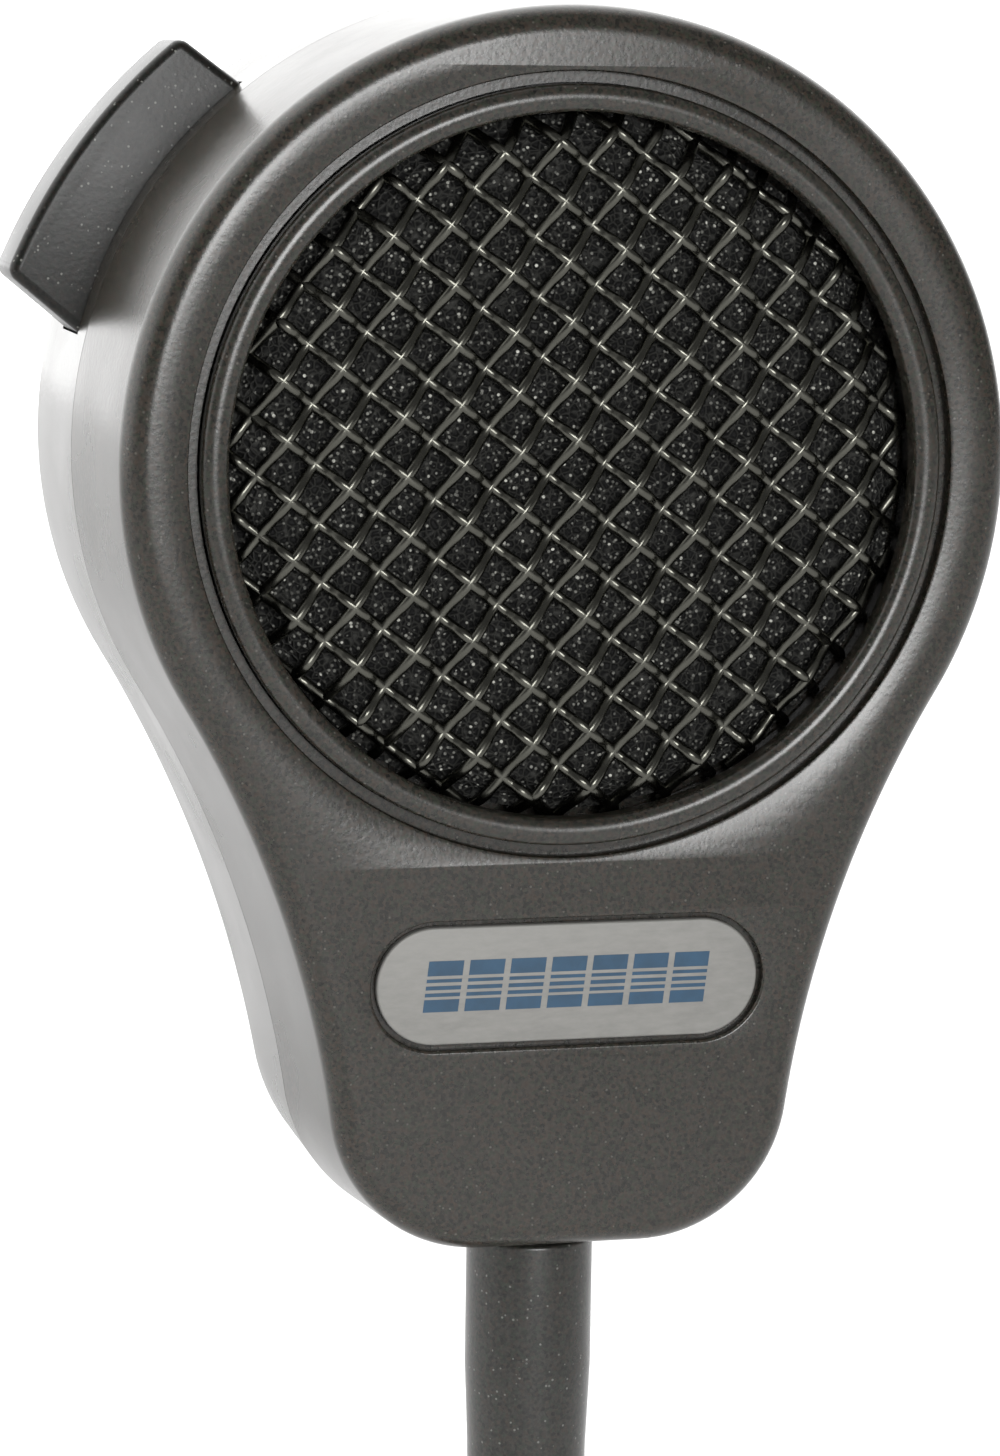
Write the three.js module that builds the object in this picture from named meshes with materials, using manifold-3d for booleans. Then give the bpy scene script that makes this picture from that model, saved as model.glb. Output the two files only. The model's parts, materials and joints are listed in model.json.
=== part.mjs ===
// Palm-held push-to-talk radio microphone with a hang-up button, a curly cord and a screw-on plug.
// Millimetres. +X is the holder's left seen from the front, +Y points out of the back, +Z is up.
// The origin is the centre of the hang-up button's flat end face. The grille faces -Y.
import * as THREE from "three";
import { mergeVertices } from "three/addons/utils/BufferGeometryUtils.js";
import Module from "manifold-3d";

const wasm = await Module();
wasm.setup();

// ---------------------------------------------------------------- driving dimensions
const GAP = 0.3; // clearance between pieces that touch on the real object
const THIN_GAP = 0.1; // clearance between the flat pieces of the switch stack

// Case outline at the rim of the face: head circle, two concave neck arcs, two base corners
const HEAD_R = 31.4;
const NECK_R = 78;
const BASE_CORNER_R = 10.8;
const BASE_CORNER_X = 5.8;
const BASE_CORNER_Z = -44.2;
const BASE_Z = BASE_CORNER_Z - BASE_CORNER_R;

// Depths, measured back from the face
const CASE_DEPTH = 36; // at the head
const PART_DEPTH = 16.5; // the joint between the two covers, at the head
const HANG_PROUD = 4.8; // the hang-up button's end face stands this far off the back
const FACE_Y = -CASE_DEPTH - HANG_PROUD;
const WALL = 2.2;
const FACE_FILLET = 2;
const BACK_FILLET = 2;
const DRAFT = 0.9; // how far the front cover's wall spreads from the face to the joint
const BACK_DRAFT = 0.2; // how far the back cover's wall closes in again

// Below the head the case gets thinner towards its base; the joint rises a little with it
const TAPER_BLEND = 10; // height over which each slope comes in
const JOINT_TAPER = { startZ: -7, slope: 0.095 };
const BACK_TAPER = { startZ: -15.8, slope: 0.34 };

// Grille
const GROOVE_R = 26.95;
const GROOVE_DEPTH = 1.2;
const RING_R = 26.1;
const RING_INNER_R = 24.2;
const RING_PROUD = 0.6;
const WELL_R = 26.2;
const WELL_DEPTH = 5.2;
const FLOOR_DEPTH = 7; // back of the well's floor
const SOUND_R = 13.5;

// Nameplate
const PLATE_Z = -35.8;
const PLATE_LENGTH = 27.4;
const PLATE_HEIGHT = 8.3;
const PLATE_THICK = 0.6;
const PLATE_RECESS = 0.9;

// Push-to-talk button, on the head's side; its travel points at the head's centre
const PTT_ANGLE = THREE.MathUtils.degToRad(143.6);
const PTT_Y = FACE_Y + 24; // middle of its width, in the back cover's wall
const PTT_SHIFT = 1.35; // its middle sits this far below the line through the head's centre
const PTT_LENGTH = 20.7;
const PTT_LOWER_SPREAD = 0.6; // its lower end widens this much from the crown to the flange
const PTT_WIDTH = 7;
const PTT_END_R = 36.35; // from the head's centre to the button's end corners, along its travel
const PTT_CROWN = 1.3;
const PTT_SLOT_GAP = 0.3;
const PTT_SLOT_SPREAD = 0.35; // and as much more at the lower end, where it widens
const PTT_FLANGE_R = 25.6;
const PTT_FLANGE_THICK = 1.2;
const PTT_FLANGE_SIDE = 5.9; // half its width

// Leaf switch behind the button, in a frame turned from the button's
const SWITCH_TILT = THREE.MathUtils.degToRad(12);
const LEAF_ROW = 3.7; // each leaf's distance from the button's middle plane
const LEAF_WIDTH = 3.6;
const LEAF_THICK = 0.4;
const LEAF_TIP = -6;
const STACK_START = 15;
const STACK_END = 20.5;
const STACK_SIDE = 6; // half its width
const STACK_SCREWS = [16.4, 19.1];
const LEAF_TAIL = 23;
const FIXED_LEAF_X = -4.4;
const PUSH_X = 23.4; // where the button presses the moving leaves, in the button's frame
const PUSH_Z = -3;
const SPRING_Z = 4;
const SPRING_SEAT_X = 19.5;
const FOOT_Y = FACE_Y + 10.8 - PTT_Y; // the bracket's foot, in the switch frame
const FOOT_SPOT = [-3, 23.5]; // its screw

// Housing screws, one at the top of the head and two in the base
const SCREW_BITE = 7; // how far each screw reaches past the joint into the front cover
const SCREW_SEAT = 2.7; // how far its head's seat lies below the back
const SCREW_SPOTS = [
  [0, 25.5],
  [-10.5, -46.5],
  [10.5, -46.5],
];

// Cable, its rubber boot, the curly cord and the plug, all on one vertical axis
const CORD_R = 2.6;
const CORD_Y = FACE_Y + 9.8;
const BOOT_HOLE_R = 4.2;
const BOOT_TOP_R = 4.55;
const BOOT_END_R = 4;
const BOOT_END_Z = -88;
const BOOT_FLANGE_Z = -52.5; // underside of its flange, inside the case
const CLAMP_Z = -40.5;
const CLAMP_SCREW_X = 5.2;
const CLAMP_Y = CORD_Y + CORD_R + GAP;
const CABLE_TOP_Z = -35.5;
const CURL_R = 10.6; // outer radius of the cord's coil
const CURL_TOP_Z = -98.3;
const CURL_LENGTH = 152;
const CURL_END_Z = CURL_TOP_Z - CURL_LENGTH;
const PLUG_TOP_Z = CURL_END_Z - 10;
const PLUG_LENGTH = 43.5;

// Solder lugs on the back of the cartridge
const LUG_X = 3.5;
const LUG_Y = FACE_Y + FLOOR_DEPTH + 16.1;

// ---------------------------------------------------------------- materials
const colours = {
  case_plastic: [0x4a4742, 0.5, 0.1],
  button_plastic: [0x33332f, 0.5, 0.1],
  ring_plastic: [0x3c3a36, 0.45, 0.1],
  wire_steel: [0x8d8a78, 0.35, 0.9],
  foam: [0x141414, 0.95, 0],
  plate_metal: [0xb9b7b3, 0.4, 0.6],
  rubber: [0x2b2c2d, 0.75, 0],
  cord_rubber: [0x202122, 0.6, 0],
  nickel: [0xb5b3ad, 0.3, 0.9],
  steel: [0x8f9194, 0.4, 0.9],
  brass: [0xb08d4a, 0.35, 0.9],
  spring_bronze: [0xb87f4a, 0.35, 0.9],
  phenolic: [0x6b3a22, 0.6, 0],
  black_insert: [0x18181a, 0.5, 0],
  magnet_black: [0x3a3b3f, 0.6, 0.4],
  aluminium: [0xa9abae, 0.45, 0.8],
  film: [0xc9c3a6, 0.4, 0],
  copper: [0xb06a3b, 0.4, 0.8],
  red_lead: [0xa32a24, 0.6, 0],
  blue_lead: [0x2b4c8a, 0.6, 0],
  green_lead: [0x2f6b3a, 0.6, 0],
  white_lead: [0xcfcdc4, 0.6, 0],
};

const part = new THREE.Group();

function add(name, geometry, colour, group = part) {
  const [color, roughness, metalness] = colours[colour];
  const material = new THREE.MeshStandardMaterial({ color, roughness, metalness });
  const mesh = new THREE.Mesh(geometry, material);
  mesh.name = name;
  group.add(mesh);
  return mesh;
}

// ---------------------------------------------------------------- geometry helpers

// A closed, outward-facing copy of a geometry with shared vertices.
function closed(source) {
  const bare = new THREE.BufferGeometry();
  bare.setAttribute("position", source.getAttribute("position").clone());
  if (source.index) bare.setIndex(source.index.clone());
  const merged = mergeVertices(bare, 1e-4);
  const index = [];
  for (let i = 0; i < merged.index.count; i += 3) {
    const [a, b, c] = [0, 1, 2].map((k) => merged.index.getX(i + k));
    if (a !== b && b !== c && c !== a) index.push(a, b, c);
  }
  if (volume(merged.getAttribute("position"), index) < 0) index.reverse();
  merged.setIndex(index);
  merged.computeVertexNormals();
  return merged;
}

function volume(position, index) {
  const [a, b, c] = [new THREE.Vector3(), new THREE.Vector3(), new THREE.Vector3()];
  let sum = 0;
  for (let i = 0; i < index.length; i += 3) {
    a.fromBufferAttribute(position, index[i]);
    b.fromBufferAttribute(position, index[i + 1]);
    c.fromBufferAttribute(position, index[i + 2]);
    sum += a.dot(b.cross(c));
  }
  return sum / 6;
}

function toSolid(geometry) {
  const mesh = closed(geometry);
  return new wasm.Manifold(
    new wasm.Mesh({
      numProp: 3,
      vertProperties: new Float32Array(mesh.getAttribute("position").array),
      triVerts: new Uint32Array(mesh.index.array),
    }),
  );
}

function fromSolid(solid) {
  const mesh = solid.getMesh();
  const geometry = new THREE.BufferGeometry();
  geometry.setAttribute("position", new THREE.BufferAttribute(mesh.vertProperties, 3));
  geometry.setIndex(new THREE.BufferAttribute(mesh.triVerts, 1));
  return geometry;
}

// body plus every piece in joins, less every piece in cuts
function shaped(body, { joins = [], cuts = [] }) {
  let solid = toSolid(body);
  for (const piece of joins) solid = solid.add(toSolid(piece));
  for (const piece of cuts) solid = solid.subtract(toSolid(piece));
  return fromSolid(solid);
}

// A solid of revolution from [radius, height] pairs, about the Y axis.
function turned(profile, segments = 32) {
  const onAxis = profile[0][0] === 0 && profile.at(-1)[0] === 0;
  const points = onAxis ? profile : [...profile, profile[0]];
  return closed(new THREE.LatheGeometry(points.map(([r, y]) => new THREE.Vector2(r, y)), segments));
}

// The same about a line parallel to Z; heights are Z.
function turnedUpright(profile, segments = 24, x = 0, y = CORD_Y) {
  return turned(profile, segments).rotateX(Math.PI / 2).translate(x, y, 0);
}

// A round pin along Y, from y0 to y1
function pinAlongY(r, y0, y1, x, z, segments = 16) {
  const pin = turned([[0, y0], [r, y0], [r, y1], [0, y1]], segments);
  return pin.translate(x, 0, z);
}

function block([x0, x1], [y0, y1], [z0, z1]) {
  const box = new THREE.BoxGeometry(x1 - x0, y1 - y0, z1 - z0);
  return box.translate((x0 + x1) / 2, (y0 + y1) / 2, (z0 + z1) / 2);
}

function tube(points, r, sides, steps) {
  const section = new THREE.Shape().absarc(0, 0, r, 0, 2 * Math.PI);
  const path = new THREE.CatmullRomCurve3(points.map((p) => new THREE.Vector3(...p)));
  const sweep = { steps, extrudePath: path, curveSegments: sides, bevelEnabled: false };
  return closed(new THREE.ExtrudeGeometry(section, sweep));
}

// ---------------------------------------------------------------- case outline

// Centre of the neck arc, which touches the head circle and the base corner from outside
function neckCentre() {
  const toHead = HEAD_R + NECK_R;
  const toCorner = BASE_CORNER_R + NECK_R;
  const between = Math.hypot(BASE_CORNER_X, BASE_CORNER_Z);
  const along = (toHead ** 2 - toCorner ** 2 + between ** 2) / (2 * between);
  const aside = Math.sqrt(toHead ** 2 - along ** 2);
  const [ux, uz] = [BASE_CORNER_X / between, BASE_CORNER_Z / between];
  return [along * ux - aside * uz, along * uz + aside * ux];
}

function arc(cx, cz, r, from, to, steps) {
  const points = [];
  for (let i = 0; i <= steps; i++) {
    const angle = from + ((to - from) * i) / steps;
    points.push([cx + r * Math.cos(angle), cz + r * Math.sin(angle)]);
  }
  return points;
}

// The right half of the outline from the top of the head to the base's flat, pushed out by offset
function halfOutline(offset) {
  const [nx, nz] = neckCentre();
  const headEnd = Math.atan2(nz, nx);
  const cornerStart = Math.atan2(nz - BASE_CORNER_Z, nx - BASE_CORNER_X);
  const head = arc(0, 0, HEAD_R + offset, Math.PI / 2, headEnd, 16);
  const neck = arc(nx, nz, NECK_R - offset, headEnd + Math.PI, cornerStart + Math.PI, 7);
  const corner = arc(
    BASE_CORNER_X, BASE_CORNER_Z, BASE_CORNER_R + offset, cornerStart, -Math.PI / 2, 6,
  );
  return [...head, ...neck.slice(1), ...corner.slice(1)];
}

// How far a sloping surface has moved towards the face at height z
function taper({ startZ, slope }, z) {
  const below = startZ - z;
  if (below <= 0) return 0;
  if (below < TAPER_BLEND) return (slope * below ** 2) / (2 * TAPER_BLEND);
  return slope * (below - TAPER_BLEND / 2);
}

const jointY = (z) => FACE_Y + PART_DEPTH - taper(JOINT_TAPER, z);
const backY = (z) => FACE_Y + CASE_DEPTH - taper(BACK_TAPER, z);

// A solid through rings of the outline. Each ring is { offset, y }, where y is a function of z.
function loft(rings) {
  const positions = [];
  const index = [];
  const half = halfOutline(0).length;
  const count = 2 * half - 1;
  for (const { offset, y } of rings) {
    const right = halfOutline(offset);
    const left = right.slice(1).reverse().map(([x, z]) => [-x, z]);
    for (const [x, z] of [...right, ...left]) positions.push(x, y(z), z);
  }
  for (let ring = 0; ring + 1 < rings.length; ring++) {
    for (let i = 0; i < count; i++) {
      const a = ring * count + i;
      const b = ring * count + ((i + 1) % count);
      index.push(a, b, b + count, a, b + count, a + count);
    }
  }
  // End faces run in level strips from each point to its mirror image
  const last = (rings.length - 1) * count;
  for (let i = 0; i + 1 < half; i++) {
    const [right, rightNext] = [i, i + 1];
    const [left, leftNext] = [(count - i) % count, count - i - 1];
    index.push(right, leftNext, rightNext, last + right, last + rightNext, last + leftNext);
    if (i > 0) index.push(right, left, leftNext, last + right, last + leftNext, last + left);
  }
  const geometry = new THREE.BufferGeometry();
  geometry.setAttribute("position", new THREE.Float32BufferAttribute(positions, 3));
  geometry.setIndex(index);
  return closed(geometry);
}

// Rings of a quarter-round edge that ends flush with a surface, in four steps
function filletRings(radius, offset, surface, inward) {
  return [0, 1, 2, 3].map((step) => {
    const angle = (step * Math.PI) / 6;
    return {
      offset: offset - radius * (1 - Math.sin(angle)),
      y: (z) => surface(z) + inward * radius * (1 - Math.cos(angle)),
    };
  });
}

// A flat plate with round ends at the nameplate's place, from y0 back to y1
function plateSlab(length, height, y0, y1) {
  const r = height / 2;
  const reach = length / 2 - r;
  const shape = new THREE.Shape();
  shape.absarc(reach, 0, r, -Math.PI / 2, Math.PI / 2);
  shape.absarc(-reach, 0, r, Math.PI / 2, (3 * Math.PI) / 2);
  const flat = new THREE.ExtrudeGeometry(shape, {
    depth: y1 - y0, bevelEnabled: false, curveSegments: 10,
  });
  return flat.rotateX(Math.PI / 2).translate(0, y1, PLATE_Z);
}

// ---------------------------------------------------------------- button frame
const buttonFrame = new THREE.Group(); // X out along the button's travel, Z along the button
buttonFrame.rotation.y = -PTT_ANGLE;
buttonFrame.position.set(-PTT_SHIFT * Math.sin(PTT_ANGLE), PTT_Y, PTT_SHIFT * Math.cos(PTT_ANGLE));
part.add(buttonFrame);
buttonFrame.updateMatrixWorld(true);

const switchFrame = new THREE.Group(); // X out, Z from the leaves' tips to their tails
switchFrame.position.set(PUSH_X, 0, PUSH_Z);
switchFrame.rotation.y = -SWITCH_TILT;
buttonFrame.add(switchFrame);
switchFrame.updateMatrix();
switchFrame.updateMatrixWorld(true);

// A pin along Y in the switch frame, placed in the part's frame
function pinInSwitch(r, y0, y1, x, z, segments = 12) {
  return pinAlongY(r, y0, y1, x, z, segments).applyMatrix4(switchFrame.matrixWorld);
}

// The window in the back cover that the button moves through
function buttonSlot() {
  const reach = PTT_LENGTH / 2 + PTT_SLOT_GAP;
  const side = PTT_WIDTH / 2 + PTT_SLOT_GAP;
  const window = block([24, 42], [-side, side], [-reach, reach + PTT_SLOT_SPREAD]);
  return window.applyMatrix4(buttonFrame.matrixWorld);
}

// ---------------------------------------------------------------- covers
function bootHole() {
  const [low, high] = [BASE_Z - 8, BASE_Z + 5];
  return turnedUpright([[0, low], [BOOT_HOLE_R, low], [BOOT_HOLE_R, high], [0, high]], 24);
}

function frontCover() {
  const outer = loft([
    ...filletRings(FACE_FILLET, 0, () => FACE_Y, 1),
    { offset: DRAFT, y: jointY },
  ]);
  // Behind the grille the face is thick enough for the well; below it the face is one wall thick
  const innerFace = (z) => FACE_Y + (z > -30 ? FLOOR_DEPTH : WALL);
  const cavity = loft([
    { offset: -WALL, y: innerFace },
    { offset: DRAFT - WALL, y: (z) => jointY(z) + 1 },
  ]);
  const bosses = SCREW_SPOTS.map(([x, z]) => pinAlongY(3.4, FACE_Y + 1.5, jointY(z) - GAP, x, z));
  const clampPosts = [-1, 1].map((side) =>
    pinAlongY(1.9, FACE_Y + 1.5, CLAMP_Y - GAP, side * CLAMP_SCREW_X, CLAMP_Z, 12));
  const footPost = pinInSwitch(2.5, FOOT_Y - 5, FOOT_Y - GAP, ...FOOT_SPOT);
  return shaped(outer, {
    cuts: [
      fromSolid(
        toSolid(cavity).subtract(
          [...bosses, ...clampPosts, footPost].map(toSolid).reduce((sum, post) => sum.add(post)),
        ),
      ),
      pinAlongY(GROOVE_R, FACE_Y - 1, FACE_Y + GROOVE_DEPTH, 0, 0, 48),
      pinAlongY(WELL_R, FACE_Y, FACE_Y + WELL_DEPTH, 0, 0, 48),
      pinAlongY(SOUND_R, FACE_Y + 1, FACE_Y + FLOOR_DEPTH + 2, 0, 0, 32),
      plateSlab(PLATE_LENGTH + 0.8, PLATE_HEIGHT + 0.8, FACE_Y - 1, FACE_Y + PLATE_RECESS),
      bootHole(),
      ...SCREW_SPOTS.map(([x, z]) => pinAlongY(1.5, jointY(z) - 9, jointY(z) + 2, x, z, 12)),
      ...[-1, 1].map((side) =>
        pinAlongY(1.1, CLAMP_Y - 6, CLAMP_Y + 2, side * CLAMP_SCREW_X, CLAMP_Z, 10)),
      pinInSwitch(1.1, FOOT_Y - 4, FOOT_Y + 1, ...FOOT_SPOT, 10),
    ],
  });
}

function backCover() {
  const parted = (z) => jointY(z) + GAP;
  const rim = DRAFT - BACK_DRAFT;
  const outer = loft([
    { offset: DRAFT, y: parted },
    ...filletRings(BACK_FILLET, rim, backY, -1).reverse(),
  ]);
  const cavity = loft([
    { offset: DRAFT - WALL, y: (z) => jointY(z) - 1 },
    { offset: rim - WALL, y: (z) => backY(z) - WALL },
  ]);
  const bosses = SCREW_SPOTS.map(([x, z]) => pinAlongY(3.6, parted(z), backY(z) - 1.5, x, z));
  return shaped(outer, {
    cuts: [
      fromSolid(toSolid(cavity).subtract(bosses.map(toSolid).reduce((sum, boss) => sum.add(boss)))),
      buttonSlot(),
      bootHole(),
      ...SCREW_SPOTS.map(([x, z]) => pinAlongY(3, backY(z) - SCREW_SEAT - THIN_GAP, backY(z) + 2, x, z)),
      ...SCREW_SPOTS.map(([x, z]) => pinAlongY(1.6, jointY(z) - 2, backY(z), x, z, 12)),
      pinAlongY(1.9, backY(0) - 4, backY(0) + 2, 0, 0, 12),
    ],
  });
}

// ---------------------------------------------------------------- grille
function grille() {
  const f = FACE_Y;
  const ring = turned([
    [RING_INNER_R, f + 1.3],
    [RING_INNER_R, f + 0.5],
    [RING_INNER_R + 0.3, f - 0.2],
    [RING_INNER_R + 0.9, f - RING_PROUD],
    [RING_R - 0.6, f - RING_PROUD + 0.1],
    [RING_R, f + 0.2],
    [RING_R, f + GROOVE_DEPTH - GAP],
    [WELL_R - GAP, f + GROOVE_DEPTH - GAP],
    [WELL_R - GAP, f + WELL_DEPTH - GAP],
    [25.1, f + WELL_DEPTH - GAP],
    [25.1, f + 1.3],
  ], 48);
  add("grille_ring", ring, "ring_plastic");

  // The woven mesh: a shallow dome whose rim turns down and out under the ring
  const mesh = turned([
    [0, f - 0.5],
    [8, f - 0.4],
    [16, f - 0.05],
    [21.5, f + 0.4],
    [23.2, f + 1.1],
    [23.8, f + 1.7],
    [24.8, f + 1.7],
    [24.8, f + 2.7],
    [23.4, f + 2.7],
    [22.2, f + 2],
    [21, f + 1.5],
    [16, f + 1],
    [8, f + 0.65],
    [0, f + 0.55],
  ], 40);
  add("grille_mesh", mesh, "wire_steel");

  const foam = turned([
    [0, f + 0.9],
    [16, f + 1.35],
    [21, f + 1.9],
    [22.6, f + 3],
    [22.6, f + WELL_DEPTH - GAP],
    [0, f + WELL_DEPTH - GAP],
  ], 32);
  add("foam_windscreen", foam, "foam");
}

// ---------------------------------------------------------------- dynamic cartridge
function cartridge() {
  const f = FACE_Y + FLOOR_DEPTH; // back of the well's floor
  const mount = turned([
    [16.5, f + GAP], [16.5, f + 11.8], [14.6, f + 11.8], [14.6, f + 1.5], [12.5, f + 1.5],
    [12.5, f + GAP],
  ], 28);
  add("shock_mount", mount, "rubber");

  const capFace = turned([[0, f + 1.8], [14.2, f + 1.8], [14.2, f + 3], [0, f + 3]], 28);
  const ports = [0, 1, 2, 3, 4, 5].map((i) => {
    const angle = (i * Math.PI) / 3;
    return pinAlongY(1.3, f + 1, f + 4, 7 * Math.cos(angle), 7 * Math.sin(angle), 8);
  });
  add("capsule_cap", shaped(capFace, { cuts: ports }), "aluminium");

  const diaphragm = turned([
    [0, f + 3.35], [3.5, f + 3.55], [6.2, f + 4], [8, f + 4], [13.2, f + 4.2],
    [13.2, f + 4.45], [8, f + 4.25], [6.2, f + 4.25], [3.5, f + 3.8], [0, f + 3.6],
  ], 28);
  add("diaphragm", diaphragm, "film");

  const coil = turned([[6, f + 4.35], [6.4, f + 4.35], [6.4, f + 7.3], [6, f + 7.3]], 24);
  add("voice_coil", coil, "copper");

  const pole = turned([[0, f + 5.3], [5.6, f + 5.3], [5.6, f + 7.1], [0, f + 7.1]], 24);
  add("pole_piece", pole, "steel");

  const magnet = turned([[0, f + 7.2], [5, f + 7.2], [5, f + 11.2], [0, f + 11.2]], 20);
  add("magnet", magnet, "magnet_black");

  const yoke = turned([
    [0, f + 11.3], [6.9, f + 11.3], [6.9, f + 5.3], [8.6, f + 5.3], [8.6, f + 13.1], [0, f + 13.1],
  ], 24);
  add("magnet_yoke", yoke, "steel");

  const caseShell = turned([
    [0, f + 13.4], [13.6, f + 13.4], [13.6, f + 3.1], [14.2, f + 3.1], [14.2, f + 14.5],
    [0, f + 14.5],
  ], 28);
  add("capsule_case", caseShell, "aluminium");

  const board = block([-6, 6], [f + 14.8, f + 16], [-6.5, -1.5]);
  add("capsule_terminal_board", board, "phenolic");
  for (const side of [-1, 1]) {
    const x = side * LUG_X;
    const lug = block([x - 0.7, x + 0.7], [LUG_Y, LUG_Y + LEAF_THICK], [-7.5, -2]);
    add(side < 0 ? "capsule_lug_a" : "capsule_lug_b", lug, "brass");
  }
}

// ---------------------------------------------------------------- push-to-talk button and switch
function pttButton() {
  const half = PTT_LENGTH / 2;
  const cornerR = 1.3;
  const bevel = 0.8;
  const root = PTT_FLANGE_R + 0.8;
  const crownR = (half ** 2 + PTT_CROWN ** 2) / (2 * PTT_CROWN);
  const crownX = PTT_END_R + PTT_CROWN - crownR;
  const reach = Math.asin((half - cornerR) / crownR);
  // Shape Y lies along the frame's Z, so the lower end, which spreads, is at +Y
  const outline = new THREE.Shape();
  outline.moveTo(root, -half);
  outline.lineTo(PTT_END_R - cornerR, -half);
  outline.absarc(crownX, 0, crownR, -reach, reach);
  outline.lineTo(PTT_END_R - cornerR, half);
  outline.lineTo(root, half + PTT_LOWER_SPREAD);
  const stem = new THREE.ExtrudeGeometry(outline, {
    depth: PTT_WIDTH - 2 * bevel,
    bevelThickness: bevel,
    bevelSize: bevel,
    bevelOffset: -bevel,
    bevelSegments: 2,
    curveSegments: 10,
  });
  stem.rotateX(Math.PI / 2).translate(0, PTT_WIDTH / 2 - bevel, 0);
  const flange = block(
    [PTT_FLANGE_R, PTT_FLANGE_R + PTT_FLANGE_THICK],
    [-PTT_FLANGE_SIDE, PTT_FLANGE_SIDE],
    [-half - 1, half + 1],
  );
  const pushers = [-1, 1].map((row) =>
    block(
      [PUSH_X + GAP, PTT_FLANGE_R + 0.5],
      [row * LEAF_ROW - 1.2, row * LEAF_ROW + 1.2],
      [PUSH_Z - 0.8, PUSH_Z + 0.8],
    ));
  return shaped(stem, { joins: [flange, ...pushers] });
}

// A round bar along the travel, from x0 to x1
function travelBar(profile, segments, y, z) {
  return turned(profile, segments).rotateZ(-Math.PI / 2).translate(0, y, z);
}

function buttonAndSwitch() {
  add("ptt_button", pttButton(), "button_plastic", buttonFrame);

  const springX = [SPRING_SEAT_X + GAP, PTT_FLANGE_R - GAP];
  const spring = travelBar(
    [[1, springX[0]], [1.5, springX[0]], [1.5, springX[1]], [1, springX[1]]], 12, 0, SPRING_Z,
  );
  add("ptt_spring", spring, "steel", buttonFrame);

  // Bracket: an upright behind the leaves, a foot on the front cover and an arm to the spring
  const upright = block([-6.9, -6.1], [FOOT_Y, STACK_SIDE], [STACK_START, STACK_END]);
  const screwHoles = STACK_SCREWS.map((z) => travelBar(
    [[0, -8], [1, -8], [1, 4], [0, 4]], 10, 0, z,
  ));
  const toSwitch = switchFrame.matrix.clone().invert();
  const seat = block([SPRING_SEAT_X - 1, SPRING_SEAT_X], [-1.7, 1.7], [SPRING_Z - 1.7, SPRING_Z + 1.7]);
  const bracket = shaped(upright, {
    joins: [
      block([-6.9, -0.8], [FOOT_Y, FOOT_Y + 0.9], [STACK_START, 25.6]),
      block([-6.9, -6.1], [-1.7, 1.7], [13.9, STACK_START + 0.5]),
      block([-6.9, -2.9], [-1.7, 1.7], [13.9, 14.7]),
      block([-3.7, -2.9], [-1.7, 1.7], [5, 14.3]),
      seat.applyMatrix4(toSwitch),
    ],
    cuts: [...screwHoles, pinAlongY(1.1, FOOT_Y - 1, FOOT_Y + 2, ...FOOT_SPOT, 10)],
  });
  add("switch_bracket", bracket, "steel", switchFrame);

  const stack = [
    ["stack_insulator_inner", -6, -4.5],
    ["stack_insulator_middle", -3.9, -0.5],
    ["stack_insulator_outer", THIN_GAP, 1.3],
    ["stack_clamp_plate", 1.4, 2.1],
  ];
  for (const [name, x0, x1] of stack) {
    const layer = block([x0, x1], [-STACK_SIDE, STACK_SIDE], [STACK_START, STACK_END]);
    const colour = name === "stack_clamp_plate" ? "steel" : "phenolic";
    add(name, shaped(layer, { cuts: screwHoles }), colour, switchFrame);
  }

  STACK_SCREWS.forEach((z, i) => {
    const screw = travelBar(
      [[0, -6.7], [0.8, -6.7], [0.8, 2.2], [1.2, 2.2], [1.2, 3], [0, 3]], 10, 0, z,
    );
    add("stack_screw_" + (i + 1), screw, "steel", switchFrame);
  });

  for (const [i, row] of [-1, 1].entries()) {
    const y = [row * LEAF_ROW - LEAF_WIDTH / 2, row * LEAF_ROW + LEAF_WIDTH / 2];
    const moving = block([-LEAF_THICK, 0], y, [LEAF_TIP, LEAF_TAIL]);
    add("moving_leaf_" + (i + 1), moving, "spring_bronze", switchFrame);
    const fixed = block([FIXED_LEAF_X, FIXED_LEAF_X + LEAF_THICK], y, [LEAF_TIP + 1, LEAF_TAIL]);
    add("fixed_leaf_" + (i + 1), fixed, "spring_bronze", switchFrame);
    const contactZ = LEAF_TIP + 2.2;
    const movingTop = -LEAF_THICK - 0.02;
    const movingContact = travelBar(
      [[0, movingTop - 0.5], [0.8, movingTop - 0.5], [0.8, movingTop], [0, movingTop]],
      8, row * LEAF_ROW, contactZ,
    );
    add("moving_contact_" + (i + 1), movingContact, "nickel", switchFrame);
    const fixedTop = FIXED_LEAF_X + LEAF_THICK + 0.02;
    const fixedContact = travelBar(
      [[0, fixedTop], [0.8, fixedTop], [0.8, fixedTop + 0.5], [0, fixedTop + 0.5]],
      8, row * LEAF_ROW, contactZ,
    );
    add("fixed_contact_" + (i + 1), fixedContact, "nickel", switchFrame);
  }

  const footScrew = turned([
    [0, FOOT_Y - 3.5], [0.8, FOOT_Y - 3.5], [0.8, FOOT_Y + 1], [1.7, FOOT_Y + 1],
    [1.7, FOOT_Y + 2], [0, FOOT_Y + 2],
  ], 10).translate(FOOT_SPOT[0], 0, FOOT_SPOT[1]);
  add("bracket_screw", footScrew, "steel", switchFrame);
}

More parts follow.
